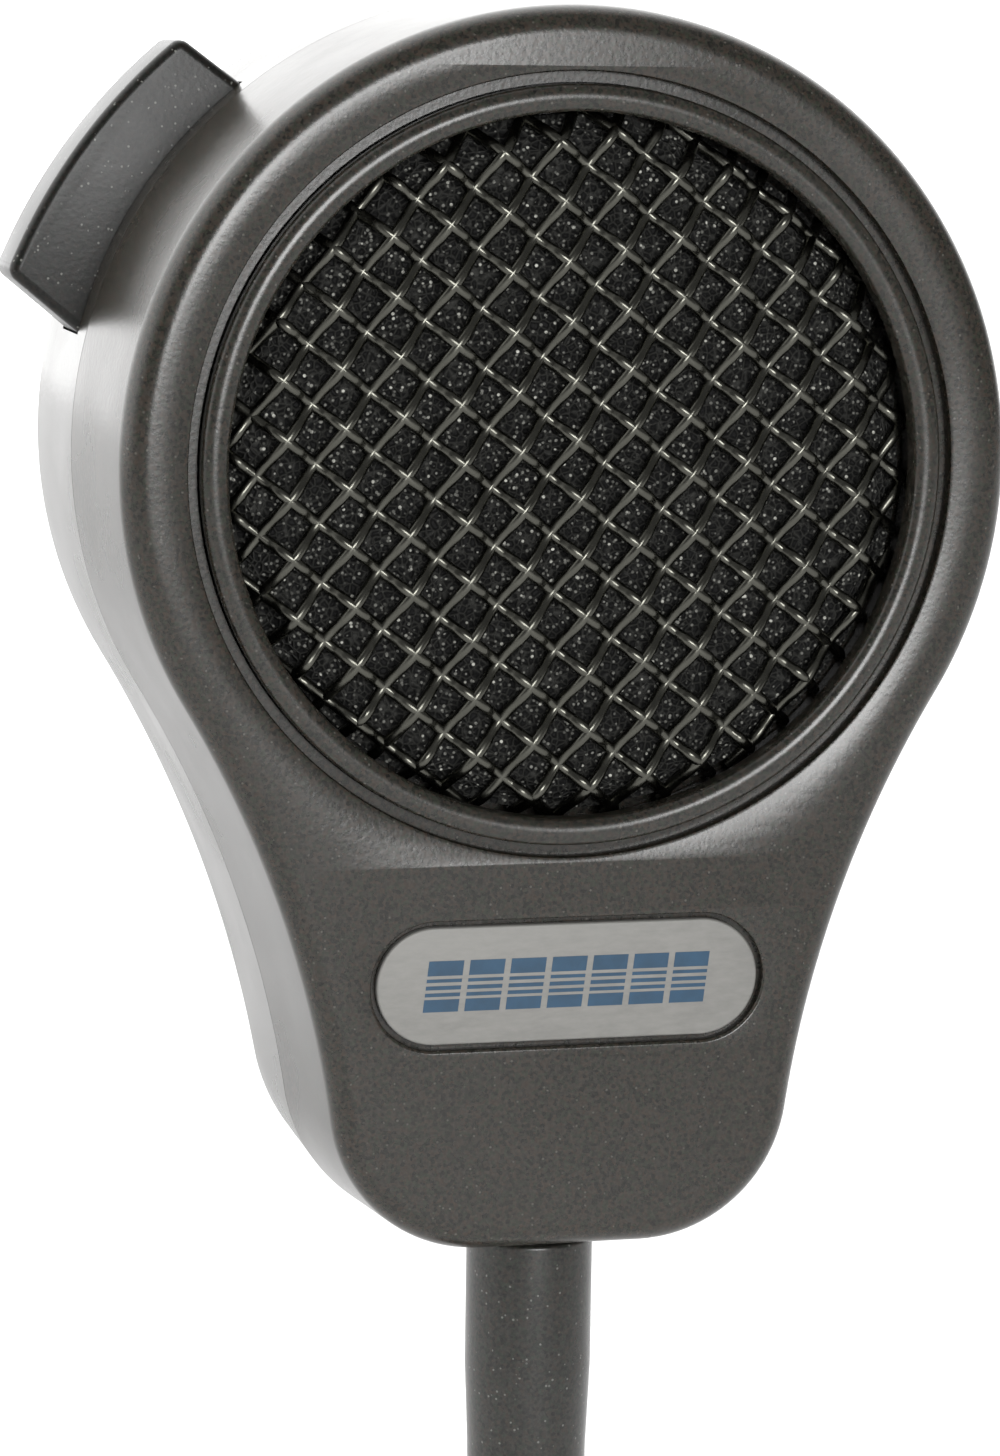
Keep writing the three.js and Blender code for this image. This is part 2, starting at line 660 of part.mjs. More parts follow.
// ---------------------------------------------------------------- case fasteners and hang-up button
function fasteners() {
  SCREW_SPOTS.forEach(([x, z], i) => {
    const seat = backY(z) - SCREW_SEAT;
    const tip = jointY(z) - SCREW_BITE;
    const body = turned([
      [0, tip], [1.3, tip + 1], [1.3, seat],
      [2.7, seat], [2.7, seat + 1], [2, seat + 1.7], [0, seat + 1.9],
    ], 14).translate(x, 0, z);
    const slots = [
      block([x - 1.6, x + 1.6], [seat + 0.9, seat + 3], [z - 0.35, z + 0.35]),
      block([x - 0.35, x + 0.35], [seat + 0.9, seat + 3], [z - 1.6, z + 1.6]),
    ];
    add("case_screw_" + (i + 1), shaped(body, { cuts: slots }), "steel");
  });

  const back = backY(0);
  const hang = turned([
    [0, 0], [6.6, 0], [7.2, -0.5], [7.2, -1.3], [6.8, -1.7], [4.2, -1.9], [4.2, back + 1.1],
    [5.4, back + 0.8], [5.4, back + GAP], [1.8, back + GAP], [1.8, -2.4], [0, -2.4],
  ], 32);
  add("hang_button", hang, "nickel");
  const inside = back - WALL;
  const screw = turned([
    [0, inside - 2.4], [2.4, inside - 2.2], [3.1, inside - 1.4], [3.1, inside - GAP],
    [1.5, inside - GAP], [1.5, -2.8], [0, -2.8],
  ], 16);
  add("hang_screw", screw, "steel");
}

// ---------------------------------------------------------------- cable, clamp and leads
function cable() {
  const shoulder = BASE_Z - DRAFT - GAP; // just below the case's base
  const bootProfile = [
    [CORD_R + GAP, BOOT_FLANGE_Z + 2.1], [6, BOOT_FLANGE_Z + 2.1], [6, BOOT_FLANGE_Z],
    [BOOT_HOLE_R - GAP, BOOT_FLANGE_Z], [BOOT_HOLE_R - GAP, shoulder],
    [BOOT_TOP_R - 0.5, shoulder], [BOOT_TOP_R, shoulder - 0.8], [BOOT_TOP_R, -68],
    [BOOT_END_R + 0.3, BOOT_END_Z + 1], [BOOT_END_R, BOOT_END_Z], [CORD_R + GAP, BOOT_END_Z],
  ];
  add("strain_relief", turnedUpright(bootProfile, 28), "rubber");

  const inner = turnedUpright([
    [0, BOOT_END_Z], [CORD_R, BOOT_END_Z], [CORD_R, CABLE_TOP_Z], [0, CABLE_TOP_Z],
  ], 12);
  add("inner_cable", inner, "cord_rubber");

  const strap = block([-7, 7], [CLAMP_Y, CLAMP_Y + 1.2], [CLAMP_Z - 2.5, CLAMP_Z + 2.5]);
  const holes = [-1, 1].map((side) =>
    pinAlongY(1.1, CLAMP_Y - 1, CLAMP_Y + 3, side * CLAMP_SCREW_X, CLAMP_Z, 10));
  add("cable_clamp", shaped(strap, { cuts: holes }), "steel");
  for (const side of [-1, 1]) {
    const top = CLAMP_Y + 1.3;
    const screw = turned([
      [0, top - 6], [0.8, top - 6], [0.8, top], [1.7, top], [1.7, top + 1], [0, top + 1],
    ], 10).translate(side * CLAMP_SCREW_X, 0, CLAMP_Z);
    add(side < 0 ? "clamp_screw_1" : "clamp_screw_2", screw, "steel");
  }

  const start = CABLE_TOP_Z + 2 * GAP;
  const leafTail = (x, row) =>
    new THREE.Vector3(x, row * LEAF_ROW, LEAF_TAIL + 0.9).applyMatrix4(switchFrame.matrixWorld).toArray();
  const lugEnd = (side) => [side * LUG_X, LUG_Y + 1.4, -6.5];
  const leads = [
    ["lead_red", [-1.2, CORD_Y + 0.8, start], [-2, -19, -28], [-3.5, -13.5, -17], lugEnd(-1)],
    ["lead_blue", [1.2, CORD_Y + 0.8, start], [2, -19, -28], [3.5, -13.5, -17], lugEnd(1)],
    ["lead_green", [-1.2, CORD_Y - 1.2, start], [-9, -25, -29], [-20, -16, -14], leafTail(-0.2, 1)],
    ["lead_white", [1.2, CORD_Y - 1.2, start], [-4, -27, -27], [-17, -25, -17], leafTail(-4.4, -1)],
  ];
  for (const [name, ...points] of leads) add(name, tube(points, 0.5, 3, 12), name.slice(5) + "_lead");
}

// ---------------------------------------------------------------- cord and plug
function cordAndPlug() {
  const stretch = (name, top, bottom) => {
    const tail = tube([[0, CORD_Y, top], [0, CORD_Y, (top + bottom) / 2], [0, CORD_Y, bottom]], CORD_R, 5, 4);
    add(name, tail, "cord_rubber");
  };
  stretch("cord_tail_upper", BOOT_END_Z - GAP, CURL_TOP_Z + GAP);
  const curl = turnedUpright([
    [0, CURL_TOP_Z], [CURL_R, CURL_TOP_Z], [CURL_R, CURL_END_Z], [0, CURL_END_Z],
  ], 20);
  add("cord_curl", curl, "cord_rubber");
  stretch("cord_tail_lower", CURL_END_Z - GAP, PLUG_TOP_Z + GAP);

  const top = PLUG_TOP_Z;
  const end = PLUG_TOP_Z - PLUG_LENGTH;
  add("plug_boot", turnedUpright([
    [0, top], [3.9, top], [4.4, top - 1], [5.2, top - 8.5], [6.6, top - 9.7], [0, top - 9.7],
  ], 24), "rubber");
  add("plug_shell", turnedUpright([
    [3, top - 10], [6.8, top - 10], [7.6, top - 11], [7.6, end + 14.2], [8.3, end + 14.2],
    [8.3, end + 12], [6.5, end + 12], [6.5, top - 11.2], [3, top - 11.2],
  ], 28), "nickel");
  const insert = turnedUpright([
    [0, end + 18], [6.2, end + 18], [6.2, end + 11.7], [7.3, end + 11.7], [7.3, end + 3.5],
    [0, end + 3.5],
  ], 24);
  const contactSpots = [0, 1, 2, 3].map((i) => {
    const angle = Math.PI / 4 + (i * Math.PI) / 2;
    return [3.6 * Math.cos(angle), CORD_Y + 3.6 * Math.sin(angle)];
  });
  const bores = contactSpots.map(([x, y]) =>
    turnedUpright([[0, end], [1.25, end], [1.25, end + 20], [0, end + 20]], 10, x, y));
  add("plug_insert", shaped(insert, { cuts: bores }), "black_insert");
  contactSpots.forEach(([x, y], i) => {
    const socket = [
      [0.6, end + 3.8], [1.05, end + 3.8], [1.05, end + 21.5], [0, end + 21.5], [0, end + 9],
      [0.6, end + 9],
    ];
    // closes on the axis, so it starts there
    const profile = [socket[4], socket[5], socket[0], socket[1], socket[2], socket[3]];
    add("plug_contact_" + (i + 1), turnedUpright(profile, 8, x, y), "brass");
  });
  add("plug_ring", turnedUpright([
    [8.7, end], [9.3, end], [9.6, end + 0.5], [9.6, end + 16.5], [9.2, end + 17.2],
    [7.9, end + 17.2], [7.9, end + 14.6], [8.7, end + 14.6],
  ], 28), "nickel");
}

add("front_cover", frontCover(), "case_plastic");
add("back_cover", backCover(), "case_plastic");
grille();
add(
  "nameplate",
  plateSlab(PLATE_LENGTH, PLATE_HEIGHT, FACE_Y + 0.15, FACE_Y + 0.15 + PLATE_THICK),
  "plate_metal",
);
cartridge();
buttonAndSwitch();
fasteners();
cable();
cordAndPlug();

export default part;
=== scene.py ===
import json
import math

import bmesh
import bpy
from mathutils import Matrix, Vector
from mathutils import noise as waves


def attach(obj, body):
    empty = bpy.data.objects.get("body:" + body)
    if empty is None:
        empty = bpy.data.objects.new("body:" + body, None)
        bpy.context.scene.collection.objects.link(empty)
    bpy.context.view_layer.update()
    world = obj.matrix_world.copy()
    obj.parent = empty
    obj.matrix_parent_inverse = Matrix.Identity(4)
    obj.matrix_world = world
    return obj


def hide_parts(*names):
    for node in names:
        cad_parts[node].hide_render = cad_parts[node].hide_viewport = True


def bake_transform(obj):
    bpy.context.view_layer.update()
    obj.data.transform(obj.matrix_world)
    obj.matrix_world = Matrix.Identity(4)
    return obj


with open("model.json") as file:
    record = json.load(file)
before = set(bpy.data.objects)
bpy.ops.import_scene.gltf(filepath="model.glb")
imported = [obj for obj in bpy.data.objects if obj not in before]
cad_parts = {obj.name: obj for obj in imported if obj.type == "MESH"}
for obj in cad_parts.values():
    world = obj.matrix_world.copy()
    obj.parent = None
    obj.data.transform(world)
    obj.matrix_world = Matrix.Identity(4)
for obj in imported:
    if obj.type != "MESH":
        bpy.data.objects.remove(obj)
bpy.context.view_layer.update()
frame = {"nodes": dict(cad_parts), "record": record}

MM = 0.001

# ------------------------------------------------------------------ dimensions, in millimetres, as in the CAD
HEAD_R = 31.4
NECK_R = 78
CORNER_R = 10.8
CORNER_X, CORNER_Z = 5.8, -44.2
BASE_Z = CORNER_Z - CORNER_R
CASE_DEPTH = 36
PART_DEPTH = 16.5
FACE_Y = -CASE_DEPTH - 4.8
WALL = 2.2
FACE_FILLET = 2
BACK_FILLET = 2
DRAFT = 0.9
BACK_DRAFT = 0.2
TAPER_BLEND = 10
JOINT_TAPER, BACK_TAPER = (-7, 0.095), (-15.8, 0.34)  # where each slope starts, and how steep
GROOVE_R, GROOVE_DEPTH = 26.95, 1.2
WELL_R, WELL_DEPTH, FLOOR_DEPTH = 26.2, 5.2, 7
PLATE_Z, PLATE_LENGTH, PLATE_HEIGHT, PLATE_RECESS = -35.8, 27.4, 8.3, 0.9
PTT_ANGLE = math.radians(143.6)
PTT_Y = FACE_Y + 24
PTT_SHIFT, PTT_SPREAD = 1.35, 0.6
PTT_LENGTH, PTT_WIDTH, PTT_END_R, PTT_CROWN = 20.7, 7, 36.35, 1.3
PTT_FLANGE_R = 25.6
CORD_Y = FACE_Y + 9.8
CORD_R = 2.6
BOOT_END_Z = -88
CURL_TOP_Z = -98.3
CURL_END_Z = CURL_TOP_Z - 152
CURL_MEAN_R = 8
PLUG_TOP_Z = CURL_END_Z - 10
PLUG_END_Z = PLUG_TOP_Z - 43.5
CASE = "case"

# ------------------------------------------------------------------ camera
CAMERA_AT = Vector((-80.68, FACE_Y - 295.84, 30.10)) * MM
AZIMUTH, ELEVATION, ROLL = math.radians(-14.308), math.radians(8.912), math.radians(0.824)
FOCAL_PX, FRAME_HEIGHT_PX, SENSOR_MM = 4500, 1456, 36


def add_camera():
    data = bpy.data.cameras.new("camera")
    camera = bpy.data.objects.new("camera", data)
    bpy.context.collection.objects.link(camera)
    forward = Vector((
        -math.sin(AZIMUTH) * math.cos(ELEVATION),
        math.cos(AZIMUTH) * math.cos(ELEVATION),
        -math.sin(ELEVATION),
    ))
    level = forward.cross(Vector((0, 0, 1))).normalized()
    upright = level.cross(forward)
    right = level * math.cos(ROLL) + upright * math.sin(ROLL)
    up = upright * math.cos(ROLL) - level * math.sin(ROLL)
    turn = Matrix((right, up, -forward)).transposed()
    camera.matrix_world = Matrix.Translation(CAMERA_AT) @ turn.to_4x4()
    data.sensor_width = SENSOR_MM
    data.lens = SENSOR_MM * FOCAL_PX / FRAME_HEIGHT_PX
    data.clip_start, data.clip_end = 0.01, 50
    bpy.context.scene.camera = camera


add_camera()


# ------------------------------------------------------------------ materials
def node_tree(name):
    material = bpy.data.materials.new(name)
    material.use_nodes = True
    tree = material.node_tree
    shader = tree.nodes["Principled BSDF"]
    return material, tree, shader


def coordinates(tree, scale=(1, 1, 1), turn=(0, 0, 0)):
    source = tree.nodes.new("ShaderNodeTexCoord")
    mapping = tree.nodes.new("ShaderNodeMapping")
    mapping.inputs["Scale"].default_value = scale
    mapping.inputs["Rotation"].default_value = turn
    tree.links.new(source.outputs["Object"], mapping.inputs["Vector"])
    return mapping.outputs["Vector"]


def noise(tree, vector, scale, detail=2.0, roughness=0.5):
    made = tree.nodes.new("ShaderNodeTexNoise")
    made.inputs["Scale"].default_value = scale
    made.inputs["Detail"].default_value = detail
    made.inputs["Roughness"].default_value = roughness
    tree.links.new(vector, made.inputs["Vector"])
    return made.outputs["Fac"]


def ramp(tree, value, stops):
    made = tree.nodes.new("ShaderNodeValToRGB")
    elements = made.color_ramp.elements
    while len(elements) < len(stops):
        elements.new(0.5)
    for element, (place, colour) in zip(elements, stops):
        element.position = place
        element.color = (*colour, 1) if len(colour) == 3 else colour
    tree.links.new(value, made.inputs["Fac"])
    return made.outputs["Color"]


def bump(tree, shader, height, strength, distance):
    made = tree.nodes.new("ShaderNodeBump")
    made.inputs["Strength"].default_value = strength
    made.inputs["Distance"].default_value = distance
    tree.links.new(height, made.inputs["Height"])
    tree.links.new(made.outputs["Normal"], shader.inputs["Normal"])
    return made


def specks(tree, where, scale, size, share):
    """1 inside small round specks, 0 elsewhere, and the cells' random values.

    The size is in cells, and share is the part of the cells that have a speck.
    """
    cells = tree.nodes.new("ShaderNodeTexVoronoi")
    cells.inputs["Scale"].default_value = scale
    tree.links.new(where, cells.inputs["Vector"])
    inside = ramp(tree, cells.outputs["Distance"], [(size * 0.6, (1, 1, 1)), (size, (0, 0, 0))])
    split = tree.nodes.new("ShaderNodeSeparateColor")
    tree.links.new(cells.outputs["Color"], split.inputs["Color"])
    chosen = ramp(tree, split.outputs[0], [(1 - share, (0, 0, 0)), (1 - share * 0.5, (1, 1, 1))])
    both = tree.nodes.new("ShaderNodeMath")
    both.operation = "MULTIPLY"
    tree.links.new(inside, both.inputs[0])
    tree.links.new(chosen, both.inputs[1])
    return both.outputs[0], split


def mixed(tree, factor, a, b):
    mix = tree.nodes.new("ShaderNodeMix")
    mix.data_type = "RGBA"
    for key, value in (("Factor", factor), ("A", a), ("B", b)):
        if isinstance(value, tuple):
            mix.inputs[key].default_value = (*value, 1)
        elif isinstance(value, (int, float)):
            mix.inputs[key].default_value = value
        else:
            tree.links.new(value, mix.inputs[key])
    return mix.outputs["Result"]


def flecked_plastic(name, dark, light, fleck, share, rough, grain=0.25, tints=0.5, shine=0.5):
    """Moulded plastic: fine pigment grain of varied hue, sparse pale flecks, a spark-eroded skin."""
    material, tree, shader = node_tree(name)
    where = coordinates(tree)
    base = ramp(tree, noise(tree, where, 3800, 2, 0.7), [(0.36, dark), (0.64, light)])
    fleck_mask, split = specks(tree, where, 4200, 0.45, share)
    warm = tuple(c * k for c, k in zip(light, (1.35, 0.95, 0.75)))
    green = tuple(c * k for c, k in zip(light, (0.85, 1.2, 0.9)))
    hue = ramp(tree, split.outputs[1], [(0.0, warm), (0.45, light), (0.6, dark), (1.0, green)])
    tinted = mixed(tree, tints, base, hue)
    tree.links.new(mixed(tree, fleck_mask, tinted, fleck), shader.inputs["Base Color"])
    worn = noise(tree, where, 90, 4)
    roughness = ramp(tree, worn, [(0.3, (rough - 0.03,) * 3), (0.7, (rough + 0.04,) * 3)])
    tree.links.new(roughness, shader.inputs["Roughness"])
    bump(tree, shader, noise(tree, where, 2600, 2), grain, 0.00004)
    shader.inputs["IOR"].default_value = 1.5
    shader.inputs["Specular IOR Level"].default_value = shine
    return material


def metal(name, colour, rough, streak=(1, 1, 1), streak_scale=400, plain=1.0):
    """Metal with fine drawn or turned marks and slight tarnish."""
    material, tree, shader = node_tree(name)
    where = coordinates(tree, streak)
    marks = noise(tree, where, streak_scale, 4, 0.6)
    low = tuple(c * 0.82 for c in colour)
    tone = ramp(tree, marks, [(0.3, low), (0.7, colour)])
    tree.links.new(tone, shader.inputs["Base Color"])
    roughness = ramp(tree, marks, [(0.25, (rough - 0.07,) * 3), (0.75, (rough + 0.09,) * 3)])
    tree.links.new(roughness, shader.inputs["Roughness"])
    shader.inputs["Metallic"].default_value = plain
    bump(tree, shader, marks, 0.12, 0.00003)
    return material


def rubber(name, colour, rough, grain=0.35):
    material, tree, shader = node_tree(name)
    where = coordinates(tree)
    patches = noise(tree, where, 140, 4)
    dark = tuple(c * 0.75 for c in colour)
    tone = ramp(tree, patches, [(0.3, dark), (0.7, colour)])
    tree.links.new(tone, shader.inputs["Base Color"])
    roughness = ramp(tree, patches, [(0.3, (rough - 0.06,) * 3), (0.7, (rough + 0.06,) * 3)])
    tree.links.new(roughness, shader.inputs["Roughness"])
    bump(tree, shader, noise(tree, where, 1800, 3), grain, 0.00003)
    shader.inputs["IOR"].default_value = 1.48
    return material


MATERIALS = {
    "case_plastic": flecked_plastic(
        "case_plastic", (0.004, 0.0035, 0.0025), (0.034, 0.03, 0.0245), (0.075, 0.07, 0.06), 0.04, 0.25
    ),
    "ring_plastic": flecked_plastic(
        "ring_plastic", (0.004, 0.004, 0.003), (0.034, 0.031, 0.026), (0.085, 0.08, 0.07), 0.05, 0.26
    ),
    # Painted shade: the button plastic's base is darkened from the case plastic's to stand in for the shade
    # on the button's face; its brighter flecks are partly pigment flecks, partly painted glints
    "button_plastic": flecked_plastic(
        "button_plastic", (0.002, 0.002, 0.0018), (0.014, 0.0135, 0.012), (0.16, 0.16, 0.145), 0.06, 0.33,
        shine=0.24,
    ),
    "insert_plastic": flecked_plastic(
        "insert_plastic", (0.011, 0.011, 0.012), (0.02, 0.02, 0.021), (0.03, 0.03, 0.03), 0.02, 0.45
    ),
    "phenolic": flecked_plastic(
        "phenolic", (0.12, 0.05, 0.02), (0.21, 0.09, 0.04), (0.3, 0.16, 0.08), 0.08, 0.5
    ),
    "magnet": flecked_plastic(
        "magnet", (0.02, 0.02, 0.022), (0.045, 0.045, 0.05), (0.12, 0.12, 0.13), 0.1, 0.55
    ),
    "mesh_wire": metal("mesh_wire", (0.1, 0.099, 0.085), 0.25, streak_scale=900),
    "nickel": metal("nickel", (0.62, 0.6, 0.56), 0.24),
    "steel": metal("steel", (0.5, 0.51, 0.52), 0.36),
    "brass": metal("brass", (0.72, 0.52, 0.22), 0.28),
    "spring_bronze": metal("spring_bronze", (0.66, 0.38, 0.2), 0.3),
    "aluminium": metal("aluminium", (0.6, 0.61, 0.62), 0.38),
    "nameplate": metal("nameplate", (0.235, 0.231, 0.217), 0.45, (1, 1, 3), 700, 0.12),
    "copper": metal("copper", (0.6, 0.27, 0.1), 0.32, (1, 30, 1), 500, 0.9),
    "rubber": flecked_plastic(
        "rubber", (0.004, 0.004, 0.0035), (0.03, 0.029, 0.026), (0.13, 0.13, 0.12), 0.05, 0.3
    ),
    "cord_rubber": rubber("cord_rubber", (0.02, 0.021, 0.022), 0.5, 0.2),
    "film": rubber("film", (0.5, 0.46, 0.33), 0.3, 0.1),
    "red_wire": rubber("red_wire", (0.42, 0.02, 0.015), 0.42, 0.1),
    "blue_wire": rubber("blue_wire", (0.02, 0.06, 0.28), 0.42, 0.1),
    "green_wire": rubber("green_wire", (0.02, 0.14, 0.04), 0.42, 0.1),
    "white_wire": rubber("white_wire", (0.6, 0.59, 0.55), 0.42, 0.1),
}


def foam_material():
    """Black open-cell foam: cell walls a little lighter, cell middles darkened as painted shade, and pale
    dots of base colour as painted glints.
    """
    material, tree, shader = node_tree("foam")
    where = coordinates(tree)
    cells = tree.nodes.new("ShaderNodeTexVoronoi")
    cells.feature = "DISTANCE_TO_EDGE"
    cells.inputs["Scale"].default_value = 1900
    tree.links.new(where, cells.inputs["Vector"])
    # Painted shade: the cell middles darken away from the cell walls, standing in for the shade inside open
    # cells
    rib_tone_and_cell_shade = ramp(
        tree, cells.outputs["Distance"], [(0.0, (0.035, 0.035, 0.032)), (0.18, (0.004, 0.004, 0.004))]
    )
    # Painted glints: small and large pale dots of base colour that stand in for sparkles on the foam
    small = specks(tree, where, 2500, 0.34, 0.85)[0]
    large = specks(tree, where, 1500, 0.21, 0.55)[0]
    glints = mixed(tree, small, rib_tone_and_cell_shade, (0.22, 0.22, 0.2))
    tree.links.new(mixed(tree, large, glints, (0.62, 0.62, 0.56)), shader.inputs["Base Color"])
    shader.inputs["Roughness"].default_value = 0.75
    shader.inputs["Specular IOR Level"].default_value = 0.25
    height = ramp(tree, cells.outputs["Distance"], [(0.0, (1, 1, 1)), (0.3, (0, 0, 0))])
    bump(tree, shader, height, 0.8, 0.0003)
    return material


def print_blue():
    material, tree, shader = node_tree("plate_blue")
    where = coordinates(tree)
    tone = ramp(
        tree, noise(tree, where, 900, 3), [(0.3, (0.008, 0.045, 0.09)), (0.7, (0.012, 0.06, 0.12))]
    )
    tree.links.new(tone, shader.inputs["Base Color"])
    shader.inputs["Roughness"].default_value = 0.35
    return material


MATERIALS["foam"] = foam_material()
MATERIALS["plate_blue"] = print_blue()


# ------------------------------------------------------------------ mesh helpers
def make_object(name, mesh, slot, body=CASE, replaces=(), material=None, smooth=40):
    made = bpy.data.objects.new(name, mesh)
    bpy.context.collection.objects.link(made)
    mesh.materials.clear()
    mesh.materials.append(MATERIALS[material or slot])
    if smooth and hasattr(mesh, "polygons"):
        shade(made, smooth)
    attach(made, body)
    if replaces:
        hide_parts(*replaces)
    return made


def shade(thing, degrees):
    """Smooth shading, with edges sharper than the angle kept crisp."""
    mesh = thing.data
    mesh.polygons.foreach_set("use_smooth", [True] * len(mesh.polygons))
    mesh.set_sharp_from_angle(angle=math.radians(degrees))
    mesh.update()


def mesh_from(name, points, faces):
    mesh = bpy.data.meshes.new(name)
    mesh.from_pydata([[c * MM for c in p] for p in points], [], faces)
    mesh.validate()
    mesh.update()
    return mesh


def fixed_normals(mesh):
    work = bmesh.new()
    work.from_mesh(mesh)
    bmesh.ops.remove_doubles(work, verts=work.verts, dist=1e-7)
    bmesh.ops.recalc_face_normals(work, faces=work.faces)
    work.to_mesh(mesh)
    work.free()
    mesh.update()
    return mesh


def rounded_profile(profile, radii, steps=5):
    """A closed profile with its corners rounded; radii gives one radius for each corner."""
    out = []
    count = len(profile)
    for i, (here, radius) in enumerate(zip(profile, radii)):
        corner = Vector(here)
        before = Vector(profile[i - 1]) - corner
        after = Vector(profile[(i + 1) % count]) - corner
        if radius <= 0 or before.length < 1e-6 or after.length < 1e-6:
            out.append(tuple(corner))
            continue
        half = before.angle(after) / 2
        reach = min(radius / math.tan(half), before.length * 0.49, after.length * 0.49)
        start = corner + before.normalized() * reach
        end = corner + after.normalized() * reach
        for k in range(steps + 1):
            t = k / steps
            point = start * (1 - t) ** 2 + corner * (2 * t * (1 - t)) + end * t**2
            out.append(tuple(point))
    return out


def lathe_mesh(name, profile, segments=128, upright=False, centre=(0, 0, 0)):
    """A solid of revolution from (radius, height) pairs, about Y or, upright, about Z.

    A radius of 0 is on the axis.
    """
    points, faces = [], []
    rows = []
    for radius, height in profile:
        if radius < 1e-9:
            rows.append([len(points)] * segments)
            spots = [(0.0, 0.0)]
        else:
            rows.append(list(range(len(points), len(points) + segments)))
            spots = [
                (
                    radius * math.cos(2 * math.pi * i / segments),
                    radius * math.sin(2 * math.pi * i / segments),
                )
                for i in range(segments)
            ]
        for a, b in spots:
            local = (a, b, height) if upright else (a, height, b)
            points.append([c + o for c, o in zip(local, centre)])
    ring = rows if profile[0][0] < 1e-9 and profile[-1][0] < 1e-9 else [*rows, rows[0]]
    for low, high in zip(ring, ring[1:]):
        for i in range(segments):
            j = (i + 1) % segments
            corner = [low[i], low[j], high[j], high[i]]
            face = [v for k, v in enumerate(corner) if v != corner[k - 1]]
            if len(set(face)) > 2:
                faces.append(face)
    return fixed_normals(mesh_from(name, points, faces))


def applied(thing):
    """Replaces the object's mesh with its evaluated one and drops the modifiers."""
    bpy.context.view_layer.update()
    graph = bpy.context.evaluated_depsgraph_get()
    mesh = bpy.data.meshes.new_from_object(thing.evaluated_get(graph))
    thing.modifiers.clear()
    thing.data = mesh
    return thing


def loose(name, mesh):
    made = bpy.data.objects.new(name, mesh)
    bpy.context.collection.objects.link(made)
    return made


def carve(body, cutters, operation="DIFFERENCE"):
    for cutter in cutters:
        step = body.modifiers.new("cut", "BOOLEAN")
        step.operation = operation
        step.solver = "EXACT"
        step.object = cutter
    applied(body)
    for cutter in cutters:
        bpy.data.objects.remove(cutter)
    return body


def pin_mesh(name, r, y0, y1, x, z, segments=48):
    return lathe_mesh(name, [(0, y0), (r, y0), (r, y1), (0, y1)], segments, centre=(x, 0, z))


def block_mesh(name, x, y, z, matrix=None):
    corners = [(a, b, c) for a in x for b in y for c in z]
    if matrix is not None:
        corners = [matrix @ Vector(p) for p in corners]
    faces = [(0, 1, 3, 2), (4, 6, 7, 5), (0, 4, 5, 1), (2, 3, 7, 6), (0, 2, 6, 4), (1, 5, 7, 3)]
    return fixed_normals(mesh_from(name, corners, faces))


# The button's frame: X out along its travel, Y along the part's Y, Z along the button, downwards
PTT_FRAME = Matrix((
    (math.cos(PTT_ANGLE), 0, -math.sin(PTT_ANGLE), -PTT_SHIFT * math.sin(PTT_ANGLE)),
    (0, 1, 0, PTT_Y),
    (math.sin(PTT_ANGLE), 0, math.cos(PTT_ANGLE), PTT_SHIFT * math.cos(PTT_ANGLE)),
    (0, 0, 0, 1),
))


# ------------------------------------------------------------------ case
def neck_centre():
    to_head, to_corner = HEAD_R + NECK_R, CORNER_R + NECK_R
    between = math.hypot(CORNER_X, CORNER_Z)
    along = (to_head**2 - to_corner**2 + between**2) / (2 * between)
    aside = math.sqrt(to_head**2 - along**2)
    ux, uz = CORNER_X / between, CORNER_Z / between
    return along * ux - aside * uz, along * uz + aside * ux


NECK_X, NECK_Z = neck_centre()
HEAD_END = math.atan2(NECK_Z, NECK_X)
CORNER_START = math.atan2(NECK_Z - CORNER_Z, NECK_X - CORNER_X)


def arc(cx, cz, r, start, end, steps):
    return [
        (
            cx + r * math.cos(start + (end - start) * i / steps),
            cz + r * math.sin(start + (end - start) * i / steps),
        )
        for i in range(steps + 1)
    ]


def outline(offset):
    """The case's closed outline, clockwise from the top of the head, pushed out by offset."""
    right = arc(0, 0, HEAD_R + offset, math.pi / 2, HEAD_END, 72)
    right += arc(NECK_X, NECK_Z, NECK_R - offset, HEAD_END + math.pi, CORNER_START + math.pi, 26)[1:]
    right += arc(CORNER_X, CORNER_Z, CORNER_R + offset, CORNER_START, -math.pi / 2, 26)[1:]
    left = [(-x, z) for x, z in reversed(right[1:])]
    return right + left, len(right)


def taper(kind, z):
    start, slope = kind
    below = start - z
    if below <= 0:
        return 0.0
    if below < TAPER_BLEND:
        return slope * below**2 / (2 * TAPER_BLEND)
    return slope * (below - TAPER_BLEND / 2)


def joint_y(z):
    return FACE_Y + PART_DEPTH - taper(JOINT_TAPER, z)


def back_y(z):
    return FACE_Y + CASE_DEPTH - taper(BACK_TAPER, z)


def loft_mesh(name, rings):
    """A solid through rings of the outline; each ring is (offset, depth as a function of z)."""
    points, faces = [], []
    for offset, depth in rings:
        around, half = outline(offset)
        points += [(x, depth(z), z) for x, z in around]
    count = len(around)
    for ring in range(len(rings) - 1):
        for i in range(count):
            a = ring * count + i
            b = ring * count + (i + 1) % count
            faces.append((a, b, b + count, a + count))
    last = (len(rings) - 1) * count
    for base in (0, last):
        for i in range(half - 1):
            a, b = i, i + 1
            c, d = (count - i) % count, count - i - 1
            face = [v for k, v in enumerate((a, b, d, c)) if v != (a, b, d, c)[k - 1]]
            face = list(dict.fromkeys(face))
            if len(face) > 2:
                faces.append([base + v for v in face])
    return fixed_normals(mesh_from(name, points, faces))


def fillet_rings(radius, offset, surface, inward, steps=9):
    rings = []
    for step in range(steps + 1):
        angle = math.pi / 2 * step / steps
        depth = inward * radius * (1 - math.cos(angle))
        rings.append((
            offset - radius * (1 - math.sin(angle)),
            lambda z, depth=depth: surface(z) + depth,
        ))
    return rings


